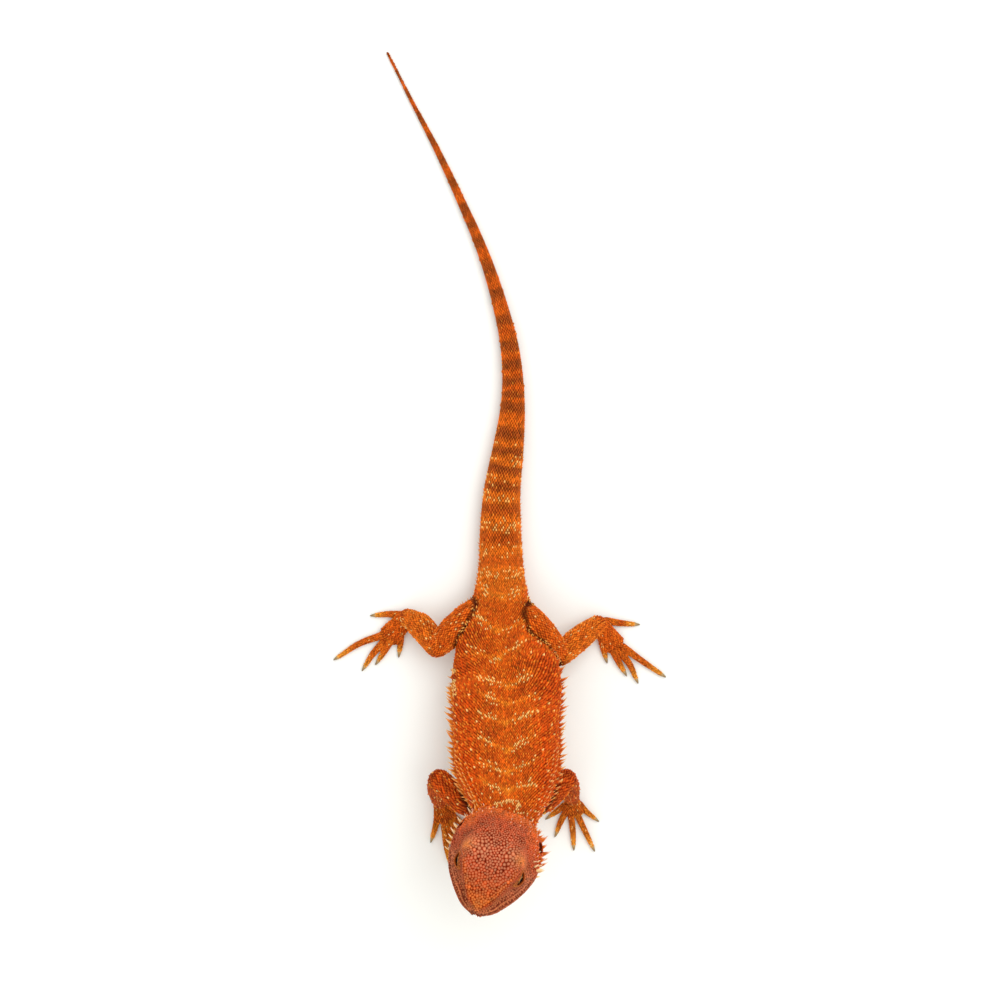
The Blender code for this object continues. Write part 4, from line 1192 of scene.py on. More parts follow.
# %% The colours of the legs
def limb_colours(rows, limb, stage):
    """Stage 0 is an upper leg, 1 a lower leg, 2 a palm and 3 a digit."""
    place = rows["place"]
    if limb.startswith("arm"):
        first = (mixed(BRICK, FLAME, 0.5), BRICK, mixed(BRICK, AMBER, 0.3), mixed(BRICK, OCHRE, 0.75))[stage]
        second = (RUST, RUST, RUST, BRICK)[stage]
    else:
        first = (ORANGE, mixed(ORANGE, AMBER, 0.35), ORANGE, mixed(ORANGE, OCHRE, 0.3))[stage]
        second = (BRICK, BRICK, BRICK, BRICK)[stage]
    tint = mixed(first, second, 0.35 + 0.45 * patches(place, 5, 12 + stage))
    if stage == 3:
        along = rows["at"] / rows["at"].max()
        tint = mixed(tint, mixed(OCHRE, HONEY, 0.45), 0.85 * ramp(along, 0.55, 0.95))
    tint = mixed(tint, PEACH, 0.6 * ramp(-rows["normal"][:, 2], 0.2, 0.8))
    pale = rng.random(len(place)) < (0.02, 0.05, 0.04, 0.03)[stage]
    return mixed(tint, CREAM, 0.4 * pale), pale


print("a palm as a light value:", mixed(BRICK, AMBER, 0.3).round(3))

# %% [markdown]
# The head is the rosiest part, with an orange snout, a glow behind the eyes, pinkish lips and a
# pale throat.

# %% The colours of the head
ROSE = paint(178, 54, 12)
BLUSH = paint(224, 158, 124)
GLOW = paint(230, 146, 96)
SNOUT = paint(168, 56, 8)
LIP = paint(168, 86, 54)
CLAY = paint(128, 44, 18)


def head_colours(rows):
    """Rosy domes and temples, an orange snout, pinkish lips and a pale throat."""
    q = in_head(rows["place"])
    out, share, high = np.abs(q[:, 0]), q[:, 1] / HEAD_LENGTH, q[:, 2]
    inner = np.interp(share, RIDGE_SHARES, RIDGE_OUT) - out
    tint = mixed(ROSE, CLAY, 0.44 + 0.35 * patches(q, 6, 20))
    tint = mixed(tint, SNOUT, 0.85 * ramp(share, 0.5, 0.75) * ramp(inner, -1.0, 1.0))
    tint = mixed(tint, AMBER, 0.25 * ramp(share, 0.8, 0.95) * ramp(inner, 0, 1))
    tint = mixed(tint, AMBER, 0.15 * bell(inner, 0.3, 0.7) * ramp(share, 0.5, 0.6) * ramp(high, 0, 2))
    # Painted shade: darker in the groove outside the ridge.
    tint = mixed(tint, CLAY, 0.6 * bell(inner, -2.0, 1.1) * ramp(share, 0.55, 0.62) * ramp(high, 0, 2))
    tint = mixed(tint, ORANGE, 0.8 * (1 - ramp(share, 0.12, 0.3)) * ramp(out, 8, 13))
    tint = mixed(tint, FLAME, 0.55 * (1 - ramp(share, 0.3, 0.5)) * ramp(-q[:, 0], 9.5, 14))
    tint = mixed(tint, LIP, 0.9 * ramp(-high, -3.4, -1.2) * ramp(share, 0.36, 0.5))
    tint = mixed(tint, GLOW, 0.35 * bell(np.hypot(out - 9.5, (share - 0.42) * HEAD_LENGTH), 0, 3.6))
    tint = mixed(tint, AMBER, 0.4 * bell(np.hypot(out - 10.6, (share - 0.45) * HEAD_LENGTH), 0, 2.0))
    tint = mixed(tint, ORANGE, 0.9 * (1 - ramp(share, -0.02, 0.12)) * ramp(high, 0, 3))
    tint = mixed(tint, PEACH, 0.9 * ramp(-high, 3.2, 6.5))
    for side in (1, -1):
        rim = np.linalg.norm(eye_place(rows["place"], side) / LID_OPEN, axis=1)
        tint = mixed(tint, OCHRE, 0.5 * bell(rim, 1.3, 0.25))
    return tint, np.zeros(len(share), bool)


print("rose as a light value:", ROSE.round(3))

# %% [markdown]
# ## The scale forms
#
# Close to, a scale of the back is a small shingle with a keel and a free, lifted tip. Those of
# the head, the throat and the toes are low many-sided domes. A spine is a curved cone. Each
# form is made once, one unit wide and long, from a few dozen faces at most. A value called
# rise goes from 0 at its foot to 1 at its top, for the colour.

# %% Three scale forms
def scale_form(name, levels, top, sharp=None):
    """A closed form of rings of equal count. Each point is (x, y, z, rise)."""
    sides = len(levels[0])
    points = np.array([p for ring in levels for p in ring] + [top])
    faces = [tuple(range(sides))[::-1]]
    for r in range(len(levels) - 1):
        for k in range(sides):
            a, b = r * sides + k, r * sides + (k + 1) % sides
            faces.append((a, b, b + sides, a + sides))
    last = (len(levels) - 1) * sides
    faces += [(last + k, last + (k + 1) % sides, len(points) - 1) for k in range(sides)]
    mesh = bpy.data.meshes.new(name)
    mesh.from_pydata((points[:, :3]).tolist(), [], faces)
    mesh.shade_smooth()
    if sharp:
        mesh.set_sharp_from_angle(angle=math.radians(sharp))
    mesh.attributes.new("rise", "FLOAT", "POINT").data.foreach_set("value", points[:, 3])
    patch = np.zeros((len(points), 3))
    patch[:, :2] = points[:, :2] / np.abs(points[:, :2]).max()
    mesh.attributes.new("patch", "FLOAT_VECTOR", "POINT").data.foreach_set("vector", patch.ravel())
    return bpy.data.objects.new(name, mesh)


shingle = scale_form(
    "shingle",
    [
        [(0, -0.5, -0.25, 0), (0.5, -0.15, -0.2, 0), (0.42, 0.3, 0.0, 0.2), (0, 0.85, 0.5, 0.8)]
        + [(-0.42, 0.3, 0.0, 0.2), (-0.5, -0.15, -0.2, 0)],
        [(0, -0.34, 0.25, 0.3), (0.3, -0.1, 0.38, 0.4), (0.24, 0.24, 0.6, 0.6), (0, 0.62, 0.95, 1)]
        + [(-0.24, 0.24, 0.6, 0.6), (-0.3, -0.1, 0.38, 0.4)],
    ],
    (0, 0.14, 0.9, 0.9),
    sharp=58,
)
wobble = (1.0, 0.9, 1.06, 0.94, 1.04, 0.88, 1.02)
corners = [(w * math.cos(a), w * math.sin(a)) for w, a in zip(wobble, np.arange(7) * 2 * math.pi / 7)]
dome = scale_form(
    "dome",
    [
        [(0.5 * x, 0.5 * y, -0.3, 0) for x, y in corners],
        [(0.44 * x, 0.44 * y, 0.14, 0.15) for x, y in corners],
        [(0.28 * x, 0.28 * y, 0.44, 0.75) for x, y in corners],
    ],
    (0, 0, 0.54, 1),
)
six = [(math.cos(a), math.sin(a)) for a in np.arange(6) * math.pi / 3]
thorn = scale_form(
    "thorn",
    [
        [(r * x, r * y + 1.1 * h * h, h, max(h, 0)) for x, y in six]
        for h, r in ((-0.18, 1.0), (0.05, 0.95), (0.35, 0.66), (0.7, 0.32))
    ],
    (0, 1.1, 1.0, 1),
)
for form in (shingle, dome, thorn):
    print(form.name, sum(len(p.vertices) - 2 for p in form.data.polygons), "triangles")

# %% [markdown]
# ## Scales on their roots
#
# Geometry Nodes set a copy of a scale form on each root: the top along the skin's outward way
# and the free tip along the lie. A little random turn and size, from a fixed seed, keeps the
# rows from looking printed. Each scale also gets a small patch on the map OFBake, at the place
# of its root on the unrolled skin, so its colours can be baked apart from its neighbours'.

# %% Add and wire nodes
def wire(tree, node, inputs):
    """Gives each input of a node a value, or links it to the socket given."""
    for key, value in inputs.items():
        if isinstance(value, bpy.types.NodeSocket):
            tree.links.new(value, node.inputs[key])
        else:
            node.inputs[key].default_value = value


def add_node(tree, kind, inputs=None, **settings):
    """A new node with its settings and its inputs."""
    node = tree.nodes.new(kind)
    for title, value in settings.items():
        setattr(node, title, value)
    wire(tree, node, inputs or {})
    return node


# %% The tree that sets the scales
PATCH_REACH = 0.0015


def scales_tree():
    tree = bpy.data.node_groups.new("scales on roots", "GeometryNodeTree")
    sockets = {"Roots": "Geometry", "Scale form": "Object", "Finish": "Material"}
    sockets.update({"Random turn": "Float", "Random size": "Float", "Seed": "Int"})
    for name, kind in sockets.items():
        tree.interface.new_socket(name, in_out="INPUT", socket_type="NodeSocket" + kind)
    tree.interface.new_socket("Coat", in_out="OUTPUT", socket_type="NodeSocketGeometry")
    given = add_node(tree, "NodeGroupInput").outputs

    def named(name):
        kind = "GeometryNodeInputNamedAttribute"
        return add_node(tree, kind, {"Name": name}, data_type="FLOAT_VECTOR").outputs["Attribute"]

    def vectors(kind, first, second):
        return add_node(tree, "ShaderNodeVectorMath", {0: first, 1: second}, operation=kind).outputs[0]

    def random_value(kind, inputs):
        return add_node(tree, "FunctionNodeRandomValue", {**inputs, "Seed": given["Seed"]}, data_type=kind)

    form = add_node(tree, "GeometryNodeObjectInfo", {"Object": given["Scale form"]})
    axes = {"Primary Axis": named("normal_out"), "Secondary Axis": named("lie")}
    stand = add_node(tree, "FunctionNodeAxesToRotation", axes, primary_axis="Z", secondary_axis="Y")
    turn = {0: random_value("FLOAT", {2: -1.0, 3: 1.0}).outputs[1], 1: given["Random turn"]}
    swing = add_node(tree, "ShaderNodeMath", turn, operation="MULTIPLY")
    euler = add_node(tree, "ShaderNodeCombineXYZ", {"Z": swing.outputs[0]})
    spin = add_node(tree, "FunctionNodeEulerToRotation", {0: euler.outputs[0]})
    both = {0: stand.outputs[0], 1: spin.outputs[0]}
    turned = add_node(tree, "FunctionNodeRotateRotation", both, rotation_space="LOCAL")
    vary = random_value("FLOAT_VECTOR", {0: (-1, -1, -1), 1: (1, 1, 1)}).outputs[0]
    by = add_node(tree, "ShaderNodeVectorMath", {0: vary, "Scale": given["Random size"]}, operation="SCALE")
    setting = {
        "Points": given["Roots"],
        "Instance": form.outputs["Geometry"],
        "Rotation": turned.outputs[0],
        "Scale": vectors("MULTIPLY", named("size"), vectors("ADD", by.outputs[0], (1, 1, 1))),
    }
    place = add_node(tree, "GeometryNodeInstanceOnPoints", setting)
    real = add_node(tree, "GeometryNodeRealizeInstances", {0: place.outputs[0]})
    spread = vectors("MULTIPLY", named("patch"), (PATCH_REACH, PATCH_REACH, 0))
    chart = {"Geometry": real.outputs[0], "Name": "OFBake", "Value": vectors("ADD", named("root_uv"), spread)}
    store = "GeometryNodeStoreNamedAttribute"
    last = add_node(tree, store, chart, data_type="FLOAT2", domain="CORNER").outputs[0]
    for spent in ("normal_out", "lie", "size", "patch", "root_uv"):
        last = add_node(tree, "GeometryNodeRemoveAttribute", {0: last, "Name": spent}).outputs[0]
    finish = add_node(tree, "GeometryNodeSetMaterial", {"Geometry": last, "Material": given["Finish"]})
    add_node(tree, "NodeGroupOutput", {0: finish.outputs[0]})
    return tree


coat_tree = scales_tree()
print("tree:", coat_tree.name, "with", len(coat_tree.nodes), "nodes")

# %% [markdown]
# A coat piece starts as a mesh of bare points with their values. The modifier's inputs are set
# by each socket's identifier, the evaluated result becomes a plain mesh, and the points go.

# %% From roots to a coat piece
def socket(tree, name):
    return next(i.identifier for i in tree.interface.items_tree if i.name == name)


def coat(name, rows, form, finish, turn, vary, seed):
    """A coat piece from rows with place, normal, lie, size, tint, tip and root_uv."""
    points = mesh_object(name + "_roots", rows["place"], [])
    for key in ("normal", "lie", "size", "tint", "tip", "root_uv"):
        values = rows[key] * MM if key == "size" else rows[key]
        title = "normal_out" if key == "normal" else key
        data = points.data.attributes.new(title, "FLOAT_VECTOR", "POINT").data
        data.foreach_set("vector", np.ascontiguousarray(values, dtype=np.float32).ravel())
    grow = points.modifiers.new("grow", "NODES")
    grow.node_group = coat_tree
    given = {"Scale form": form, "Finish": finish, "Random turn": turn, "Random size": vary, "Seed": seed}
    for title, value in given.items():
        grow[socket(coat_tree, title)] = value
    graph = bpy.context.evaluated_depsgraph_get()
    graph.update()
    mesh = bpy.data.meshes.new_from_object(points.evaluated_get(graph))
    bpy.data.objects.remove(points)
    mesh.name = name
    spots = coordinates(mesh)
    spots[:, 2] = np.maximum(spots[:, 2], 0)
    set_coordinates(mesh, spots)
    obj = bpy.data.objects.new(name, mesh)
    bpy.context.scene.collection.objects.link(obj)
    triangles = sum(len(p.vertices) - 2 for p in mesh.polygons)
    print(name, len(rows["place"]), "scales,", triangles, "triangles")
    return obj


# %% [markdown]
# ## Finishes
#
# All horny parts share two effects: a colour that goes from the scale's own tint, darkened by painted shade
# in the gap at its foot, to a lighter tip, and a fine grain as of dry horn. Each is a node group.
# The scales, the spines and the skin use both with values of their own, and the claws the grain.

# %% The colour from foot to tip
def effect(name, inputs, outputs):
    """A shader node group with named inputs and outputs, and the sockets of what it is given."""
    tree = bpy.data.node_groups.new(name, "ShaderNodeTree")
    for title, kind, value in inputs:
        made = tree.interface.new_socket(title, in_out="INPUT", socket_type="NodeSocket" + kind)
        made.default_value = value
    for title, kind in outputs:
        tree.interface.new_socket(title, in_out="OUTPUT", socket_type="NodeSocket" + kind)
    return tree, add_node(tree, "NodeGroupInput").outputs


def noise_over(tree, scale, detail):
    """A soft noise on the object's own coordinates."""
    place = add_node(tree, "ShaderNodeTexCoord").outputs["Object"]
    inputs = {"Vector": place, "Scale": scale, "Detail": detail}
    return add_node(tree, "ShaderNodeTexNoise", inputs).outputs["Fac"]


def maths(tree, kind, *values):
    return add_node(tree, "ShaderNodeMath", dict(enumerate(values)), operation=kind).outputs[0]


def horn_colour():
    tree, given = effect(
        "tint from foot to tip",
        (
            ("Tint", "Color", (0.5, 0.2, 0.1, 1)),
            ("Tip", "Color", (0.8, 0.5, 0.3, 1)),
            ("Rise", "Float", 0.5),
            ("Foot shade", "Float", 0.5),
            ("Tip start", "Float", 0.55),
            ("Fleck size", "Float", 900.0),
            ("Fleck", "Float", 0.25),
        ),
        (("Color", "Color"),),
    )
    rise = {"Value": given["Rise"], "From Min": given["Tip start"]}
    reach = add_node(tree, "ShaderNodeMapRange", rise, interpolation_type="SMOOTHSTEP").outputs[0]
    colours = {"Factor": reach, "A": given["Tint"], "B": given["Tip"]}
    blend = add_node(tree, "ShaderNodeMix", colours, data_type="RGBA").outputs["Result"]
    # Painted shade: the colour darkens towards the scale's foot, down to the foot shade at rise 0.
    rise = {"Value": given["Rise"], "From Max": 0.6, "To Min": given["Foot shade"]}
    foot = add_node(tree, "ShaderNodeMapRange", rise).outputs[0]
    centred = maths(tree, "SUBTRACT", noise_over(tree, given["Fleck size"], 3), 0.5)
    fleck = maths(tree, "MULTIPLY_ADD", centred, given["Fleck"], 1.0)
    shade = {0: blend, "Scale": maths(tree, "MULTIPLY", foot, fleck)}
    final = add_node(tree, "ShaderNodeVectorMath", shade, operation="SCALE")
    add_node(tree, "NodeGroupOutput", {"Color": final.outputs[0]})
    return tree


HORN_COLOUR = horn_colour()
print("effect:", HORN_COLOUR.name)


# %% The grain of dry horn
def horn_grain():
    tree, given = effect(
        "grain of dry horn",
        (("Grain size", "Float", 5000.0), ("Rough", "Float", 0.5)),
        (("Height", "Float"), ("Roughness", "Float")),
    )
    noise = noise_over(tree, given["Grain size"], 4)
    rough = maths(tree, "MULTIPLY_ADD", noise, 0.2, given["Rough"])
    add_node(tree, "NodeGroupOutput", {"Height": noise, "Roughness": rough})
    return tree


HORN_GRAIN = horn_grain()
print("effect:", HORN_GRAIN.name)

# %% [markdown]
# Four finishes use both effects. The plates of the head get little painted shade at their feet, the scales of
# the body get much, and a spine is pale from low down.

# %% Finishes that read the colours of the scales
GRAIN_DEPTH, BARE_RISE = 0.00005, 0.6


def new_finish(name):
    """A material, its nodes as a tree, and its shader."""
    material = bpy.data.materials.new(name)
    material.use_nodes = True
    return material, material.node_tree, material.node_tree.nodes["Principled BSDF"]


def own(tree, name, output="Fac"):
    """An attribute of the mesh's own."""
    return add_node(tree, "ShaderNodeAttribute", attribute_name=name).outputs[output]


def finish_of(name, foot, tip_start, fleck, grain_size, rough, bump, rise=True):
    """A material whose colour comes from the mesh's own tint, tip and rise."""
    material, tree, shader = new_finish(name)
    inputs = {
        "Tint": own(tree, "tint", "Color"),
        "Tip": own(tree, "tip", "Color"),
        "Rise": own(tree, "rise") if rise else BARE_RISE,
        "Foot shade": foot,
        "Tip start": tip_start,
        "Fleck": fleck,
    }
    colour = add_node(tree, "ShaderNodeGroup", inputs, node_tree=HORN_COLOUR)
    dry = {"Grain size": grain_size, "Rough": rough}
    grain = add_node(tree, "ShaderNodeGroup", dry, node_tree=HORN_GRAIN)
    relief = {"Strength": bump, "Distance": GRAIN_DEPTH, "Height": grain.outputs["Height"]}
    relief = add_node(tree, "ShaderNodeBump", relief)
    looks = {"Base Color": colour.outputs["Color"], "Roughness": grain.outputs["Roughness"]}
    wire(tree, shader, {**looks, "Normal": relief.outputs[0], "Specular IOR Level": 0.05})
    return material


# The first number is the painted shade at a scale's foot; 1 is none.
scale_finish = finish_of("scale horn", 0.17, 0.5, 0.7, 3000.0, 0.42, 0.5)
head_finish = finish_of("head plate horn", 0.62, 0.5, 0.7, 3000.0, 0.4, 0.5)
thorn_finish = finish_of("spine horn", 0.7, 0.3, 0.3, 3000.0, 0.36, 0.4)
skin_finish = finish_of("bare skin", 1.0, 0.9, 0.4, 6000.0, 0.6, 0.8, rise=False)
print("finishes:", [m.name for m in bpy.data.materials if m.users == 0])

# %% [markdown]
# ## Where each root lies on the unrolled skin
#
# Each form is unrolled on its own part of a square chart: the distance along it one way, the
# distance round it the other.

# %% The chart
CHART = {
    "head": (0.01, 0.01, 0.30, 0.44),
    "trunk": (0.33, 0.01, 0.66, 0.56),
    "tail": (0.01, 0.60, 0.98, 0.12),
    "upper": (0.01, 0.74, 0.48, 0.11),
    "lower": (0.51, 0.74, 0.48, 0.11),
    "palm": (0.01, 0.87, 0.48, 0.11),
    "digit": (0.51, 0.87, 0.48, 0.11),
    "extra": (0.01, 0.47, 0.30, 0.11),
}


def on_chart(rows, name, cell=0, cells=1):
    """Gives each root its place in one cell of a named part of the chart."""
    u0, v0, wide, high = CHART[name]
    at, arc = rows["at"], rows["arc"]
    along = (at - at.min()) / max(np.ptp(at), 1e-6)
    round_it = 0.5 + 0.5 * arc / rows["half"].max()
    u = u0 + wide * (cell + 0.03 + 0.94 * along) / cells
    v = v0 + high * round_it
    rows["root_uv"] = np.stack([u, v, np.zeros(len(u))], axis=1)


print("parts of the chart:", ", ".join(CHART))

# %% [markdown]
# A scale is dressed with a tint, a tip colour and a size that depends on the gap to its neighbours. On scales
# that are not pale, the lighter tip is partly the horn's own colour and partly a painted highlight. Pale
# scales stand a little taller, and a few raised ones taller still.

# %% Dress the scales
def dressed(rows, colours, across, along, high, pale_swell=1.3, raised=0.0, top=(HONEY, 0.2)):
    """Adds the tint, the tip colour and the size of each scale, as shares of the row gap."""
    tint, pale = colours
    count = len(tint)
    up = rng.random(count) < raised
    bright = np.clip(1 + 0.2 * rng.normal(0, 1, count), 0.55, 1.5) * np.where(up, 1.12, 1)
    rows["tint"] = np.clip(tint * bright[:, None], 0, 1)
    # Outside the pale scales, the top colour mixed into the tip is partly a painted highlight.
    tip = np.where(pale[:, None], CREAM, top[0])
    rows["tip"] = mixed(rows["tint"], tip, np.where(pale, 0.85, np.where(up, 0.7, top[1])))
    if "size" not in rows:
        gap = rows["gap"]
        tall = gap * high * np.where(pale, pale_swell, np.where(up, 1.7, 1.0))
        long = gap * along * np.where(pale, 0.8, 1.0)
        rows["size"] = np.stack([gap * across, long, tall], axis=1)
    return rows


def together(*many):
    return {k: np.concatenate([rows[k] for rows in many]) for k in many[0]}


def chosen(rows, keep):
    return {k: v[keep] for k, v in rows.items()}


head_rows["size"] = head_rows["gap"][:, None] * np.array([1.08, 1.08, 0.46])
head_rows = together(head_rows, *lip_rows, *lid_rows)
on_chart(head_rows, "head")
on_chart(trunk_rows, "trunk")
on_chart(tail_rows, "tail")
q = in_head(head_rows["place"])
share, out = q[:, 1] / HEAD_LENGTH, np.abs(q[:, 0])
# The lighter plate tops are partly the plates' own colour and partly a painted highlight.
plate_tops = mixed(BLUSH, HONEY, 0.15 + 0.35 * ramp(share, 0.6, 0.85))
plate_top_share = 0.3 + 0.34 * bell(out, 3.5, 4.5) * bell(share, 0.42, 0.18)
dressed(head_rows, head_colours(head_rows), 1.0, 1.0, 0.5, top=(plate_tops, plate_top_share))
dressed(trunk_rows, trunk_colours(trunk_rows), 1.0, 1.15, 0.42, 1.4, 0.12, top=(HONEY, 0.12))
trunk_rows["size"] *= np.where(on_bars(trunk_rows)[0][:, None], (1.1, 0.75, 1.0), 1.0)
dressed(tail_rows, tail_colours(tail_rows), 1.0, 1.2, 0.48, 1.25, 0.05, top=(HONEY, 0.22))
for i, limb in enumerate(LIMBS):
    for rows, part, stage in ((upper_rows, "upper", 0), (lower_rows, "lower", 1), (palm_rows, "palm", 2)):
        on_chart(rows[limb], part, i, 4)
        dressed(rows[limb], limb_colours(rows[limb], limb, stage), 1.0, 1.15, 0.42, 1.2, 0.1)
    for j, rows in enumerate(digit_rows[limb]):
        on_chart(rows, "digit", 5 * i + j, 20)
        dressed(rows, limb_colours(rows, limb, 3), 1.0, 1.1, 0.36)
print("dressed:", len(head_rows["at"]), "plates,", len(trunk_rows["at"]), "scales of the trunk")

# %% [markdown]
# ## Creases and bare places
#
# Where a thigh or an arm meets the trunk there is a deep crease. The scales in it are darkened with painted
# shade, and here and there one has a pale tip.

# %% Darken the creases with painted shade
def crease(first, second, reach):
    """Paints shade on the roots of one form that lie close to roots of another, darkening their tints and
    tips.
    """
    tree = tree_of(second["place"])
    away = np.array([tree.find(p)[2] for p in first["place"].tolist()])
    near = 1 - ramp(away, 0.4 * reach, reach)
    # Painted shade: the tint and the tip darken towards the crease.
    first["tint"] = first["tint"] * (1 - 0.82 * near)[:, None]
    fringe = (rng.random(len(away)) < 0.22) & (near > 0.3)
    shaded_tip = first["tip"] * (1 - 0.7 * near)[:, None]
    first["tip"] = np.where(fringe[:, None], mixed(HONEY, CREAM, 0.3), shaded_tip)
    first["size"] = first["size"] * (1 + 0.25 * fringe)[:, None]


for limb in LIMBS:
    reach = {"arm": 2.8, "leg": 2.1}[limb[:3]]
    crease(upper_rows[limb], trunk_rows, reach)
    crease(trunk_rows, upper_rows[limb], reach)
print("darkest scale of the trunk:", trunk_rows["tint"].min(axis=0).round(3))

# %% [markdown]
# Some places lie on no form's rows, such as the point of an elbow or the middle of the throat.
# They are filled with small scales that take the colour and the lie of the nearest ones.

# %% Fill the bare places
leg_rows = together(*upper_rows.values(), *lower_rows.values())
foot_rows = together(*palm_rows.values(), *[rows for many in digit_rows.values() for rows in many])
FILL, FILL_THROWS = 0.8, 260000
place, normal = thrown(FILL_THROWS, lambda points: np.ones(len(points)), 21)
grown = [{k: r[k] for k in trunk_rows} for r in (trunk_rows, tail_rows, leg_rows, foot_rows)]
head_like = {k: head_rows[k] for k in trunk_rows}
grown = together(head_like, *grown)
grown_tree = tree_of(grown["place"])
nearest = np.array([grown_tree.find(p)[1:] for p in place.tolist()])
close, away = nearest[:, 0].astype(int), nearest[:, 1]
open_skin = away > 0.72 * grown["gap"][close] + 0.08
open_skin &= ~in_opening(place, 1.0, 0.35) & (place[:, 2] > 0.7)
for side in (1, -1):
    open_skin &= np.linalg.norm(place - on_head(eye_places[side]), axis=1) > EYE_RADIUS + 0.4
place, normal, close = place[open_skin], normal[open_skin], close[open_skin]
kept = spread_out(place, np.full(len(place), FILL), FILL)
fill_rows = chosen(grown, close[kept])
fill_rows["place"], fill_rows["normal"] = place[kept], normal[kept]
fill_rows["size"] = np.repeat(np.array([[FILL, 1.1 * FILL, 0.4 * FILL]]) * 1.15, len(kept), axis=0)
print("bare places filled with", len(kept), "scales")

# %% [markdown]
# Now the coat grows, in pieces that are small enough for one file each. The underside that lies
# on the floor stays bare.

# %% Grow the coat
def off_the_floor(rows):
    """Leaves out the roots that would be crushed on the floor."""
    return chosen(rows, (rows["place"][:, 2] > 0.9) | (rows["normal"][:, 2] > 0.1))


def oblique(rows):
    """On the flanks the rows slant outwards, so the free tips of the scales do too."""
    sideways = np.cross(rows["lie"], rows["normal"]) * np.sign(rows["arc"])[:, None]
    rows["lie"] = unit(rows["lie"] + 0.65 * ramp(np.abs(rows["arc"]), 5, 15)[:, None] * sideways)


THROAT_TOP, BACK_SHARE = -2.5, 0.42
oblique(trunk_rows)
pieces = []
upper = in_head(head_rows["place"])[:, 2] > THROAT_TOP
pieces.append(coat("scales_head", chosen(head_rows, upper), dome, head_finish, 3.1, 0.16, 1))
pieces.append(coat("scales_throat", chosen(head_rows, ~upper), dome, head_finish, 3.1, 0.12, 11))
above = np.abs(trunk_rows["arc"]) < BACK_SHARE * trunk_rows["half"]
back_rows, belly_rows = chosen(trunk_rows, above), off_the_floor(chosen(trunk_rows, ~above))
pieces.append(coat("scales_back", back_rows, shingle, scale_finish, 0.25, 0.12, 2))
pieces.append(coat("scales_flanks", belly_rows, shingle, scale_finish, 0.25, 0.12, 3))
pieces.append(coat("scales_tail", off_the_floor(tail_rows), shingle, scale_finish, 0.08, 0.08, 4))
pieces.append(coat("scales_legs", off_the_floor(leg_rows), shingle, scale_finish, 0.25, 0.12, 5))
pieces.append(coat("scales_hands_and_feet", off_the_floor(foot_rows), shingle, scale_finish, 0.25, 0.1, 6))
pieces.append(coat("scales_folds", off_the_floor(fill_rows), shingle, scale_finish, 0.4, 0.12, 9))

# %% [markdown]
# ## Spines
#
# A row of long soft spines runs along each flank, with shorter ones above and below. The
# beard at the angle of the jaw, the back of the skull and the root of the tail have their own.
# They stand out from the skin and bend back.

# %% Rows of spines and their landing
def spine_rows(found, lean):
    """Rows from a list of spines: place, outward way, lie, distance along, share round, length."""
    rows = {k: np.array(v) for k, v in zip(("place", "out", "lie", "at", "arc", "gap"), zip(*found))}
    rows["half"], rows["lean"] = np.ones(len(found)), np.full(len(found), lean)
    return rows


def spines_on_body(side, start, stop, step, degrees, length, lean, shift=0.0):
    """Spines on one side at an angle from the side of the body, 90 being the top."""
    angle = degrees if side > 0 else 180 - degrees
    index = ((90 - angle) % 360) / 360
    found = []
    for a in np.arange(start + shift * step, stop, step):
        ring = body.rings([a], 180)[0]
        point = ring[int(index * 180) % 180]
        out, ahead = unit(point - ring.mean(axis=0)), body.frames([a])[1][0]
        found.append((point, out, ahead, a, side * (90 - degrees) / 180, length(a)))
    return spine_rows(found, lean)


def landed_spines(rows, tints, tip, radius=0.2, wildness=0.14):
    """Puts spines on the skin, leaning back along the lie."""
    place, normal = [], []
    for point in rows["place"]:
        spot, face, _, _ = skin_tree.find_nearest(point.tolist())
        place.append(spot)
        normal.append(face)
    rows["place"] = np.array(place)
    count = len(place)
    way = unit(np.array(normal) + rows["out"]) + rows["lean"][:, None] * rows["lie"]
    rows["normal"] = unit(way + rng.normal(0, wildness, (count, 3)))
    length = rows["gap"] * rng.uniform(0.82, 1.12, count)
    thick = np.maximum(length * radius, 0.34)
    rows["size"] = np.stack([thick, thick * 0.85, length], axis=1)
    rows["tint"] = np.clip(tints * rng.uniform(0.85, 1.15, count)[:, None], 0, 1)
    rows["tip"] = mixed(rows["tint"], tip, rng.uniform(0.5, 0.9, count))
    on_chart(rows, "extra")
    return rows


print("spines in one row:", len(spines_on_body(1, 13, 80, 2.1, -3, lambda a: 1.0, 0.35)["at"]))

# %% [markdown]
# The longest spines stand just below the widest line of the flank, and the rows beside it are
# shorter. A fan of short ones covers each shoulder.

# %% Spines along the flanks and the tail's root
def flank_length(at):
    return float(np.interp(at, (12, 18, 24, 36, 58, 68, 82), (1.6, 2.7, 3.9, 4.4, 4.3, 3.2, 1.2)))


def tail_spine(at):
    return float(np.interp(at, (VENT - 14, VENT + 10, VENT + 75), (1.4, 1.7, 0.9)))


